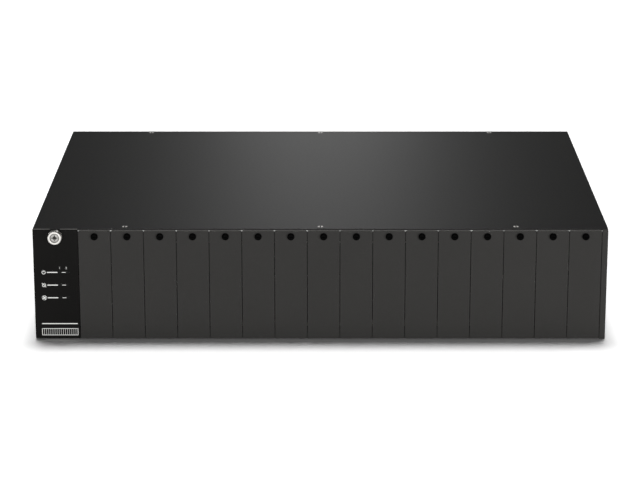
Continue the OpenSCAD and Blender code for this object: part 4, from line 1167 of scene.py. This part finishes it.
# %% Lines to the lamps
LEADER_X0 = SIGN_X + 2.6 * MM
LEADER_X1 = lamp_columns[0] - 2.2 * MM

leader = ink_bar("leader", (LEADER_X0 + LEADER_X1) / 2, lamp_rows[0],
                 LEADER_X1 - LEADER_X0, BOLD_T)
print_marks("panel_leaders", each_row(leader))

# %% [markdown]
# At the panel's foot is a simple drawing of the front itself: a frame with a thin line for
# each seam, and a bold rule above it. It tells a user at a glance how many bays there are.

# %% Drawing of the bays
DRAWING_X0 = panel_low.x + 5.2 * MM
DRAWING_X1 = panel_high.x - 1.7 * MM
DRAWING_Z0 = panel_low.z + 2.6 * MM
DRAWING_H = 5.2 * MM
RULE_Z = DRAWING_Z0 + DRAWING_H + 4.0 * MM
SEAM_T = LINE_T * 0.5
BAYS = len(covers)

drawing_w = DRAWING_X1 - DRAWING_X0
drawing_x = (DRAWING_X0 + DRAWING_X1) / 2
drawing_z = DRAWING_Z0 + DRAWING_H / 2
step = drawing_w / (BAYS + 1)
foot = ink_bar("foot", drawing_x, DRAWING_Z0, drawing_w, LINE_T)
side = ink_bar("side", DRAWING_X0, drawing_z, LINE_T, DRAWING_H + LINE_T)
seam = ink_bar("seam", DRAWING_X0 + step, drawing_z, SEAM_T, DRAWING_H)
rule = ink_bar("rule", drawing_x, RULE_Z, drawing_w, BOLD_T)
border = [foot, copied(foot, up=DRAWING_H), side, copied(side, across=drawing_w)]
seams = [seam] + [copied(seam, across=k * step) for k in range(1, BAYS)]
print_marks("panel_drawing", border + seams)
print_marks("panel_rule", [rule])

# %% [markdown]
# The back carries only the signs that every mains device has. Each switch has a bar where it
# is pressed for on, and a ring where it is pressed for off. The second supply is the same as
# the first, so its marks are copies, moved by the distance between the two rockers.

# %% Signs of the switches
ROCKER_REACH = 11.2 * MM
MARK_RISE = 5.4 * MM
RING_R = 1.5 * MM

rocker_1, rocker_2 = middle_of("psu_1_rocker"), middle_of("psu_2_rocker")
mark_x = rocker_1.x + ROCKER_REACH
first_pair = [ink_bar("on", mark_x, rocker_1.z + MARK_RISE, LINE_T, 2 * RING_R, on=INLET),
              ink_ring("off", mark_x, rocker_1.z - MARK_RISE, RING_R, RING_R - LINE_T,
                       on=INLET)]
second_pair = [copied(mark, across=rocker_2.x - rocker_1.x) for mark in first_pair]
print_marks("psu_1_switch_marks", first_pair, "psu_1")
print_marks("psu_2_switch_marks", second_pair, "psu_2")

# %% [markdown]
# Above the brass screw stands the sign for earth, three bars that shrink downwards under a
# stem. It is printed on the rear panel itself, so it rides on the chassis.

# %% Sign for earth
EARTH_RISE = 9 * MM
EARTH_BARS = (5.0 * MM, 3.2 * MM, 1.4 * MM)
EARTH_STEP = 1.1 * MM
EARTH_STEM = 3.2 * MM

screw = middle_of("ground_screw")
earth_z = screw.z + EARTH_RISE
earth = [ink_bar("bar", screw.x, earth_z - i * EARTH_STEP, width, LINE_T, on=REAR)
         for i, width in enumerate(EARTH_BARS)]
earth.append(ink_bar("stem", screw.x, earth_z + EARTH_STEM / 2, LINE_T, EARTH_STEM, on=REAR))
print_marks("earth_sign", earth, "chassis")
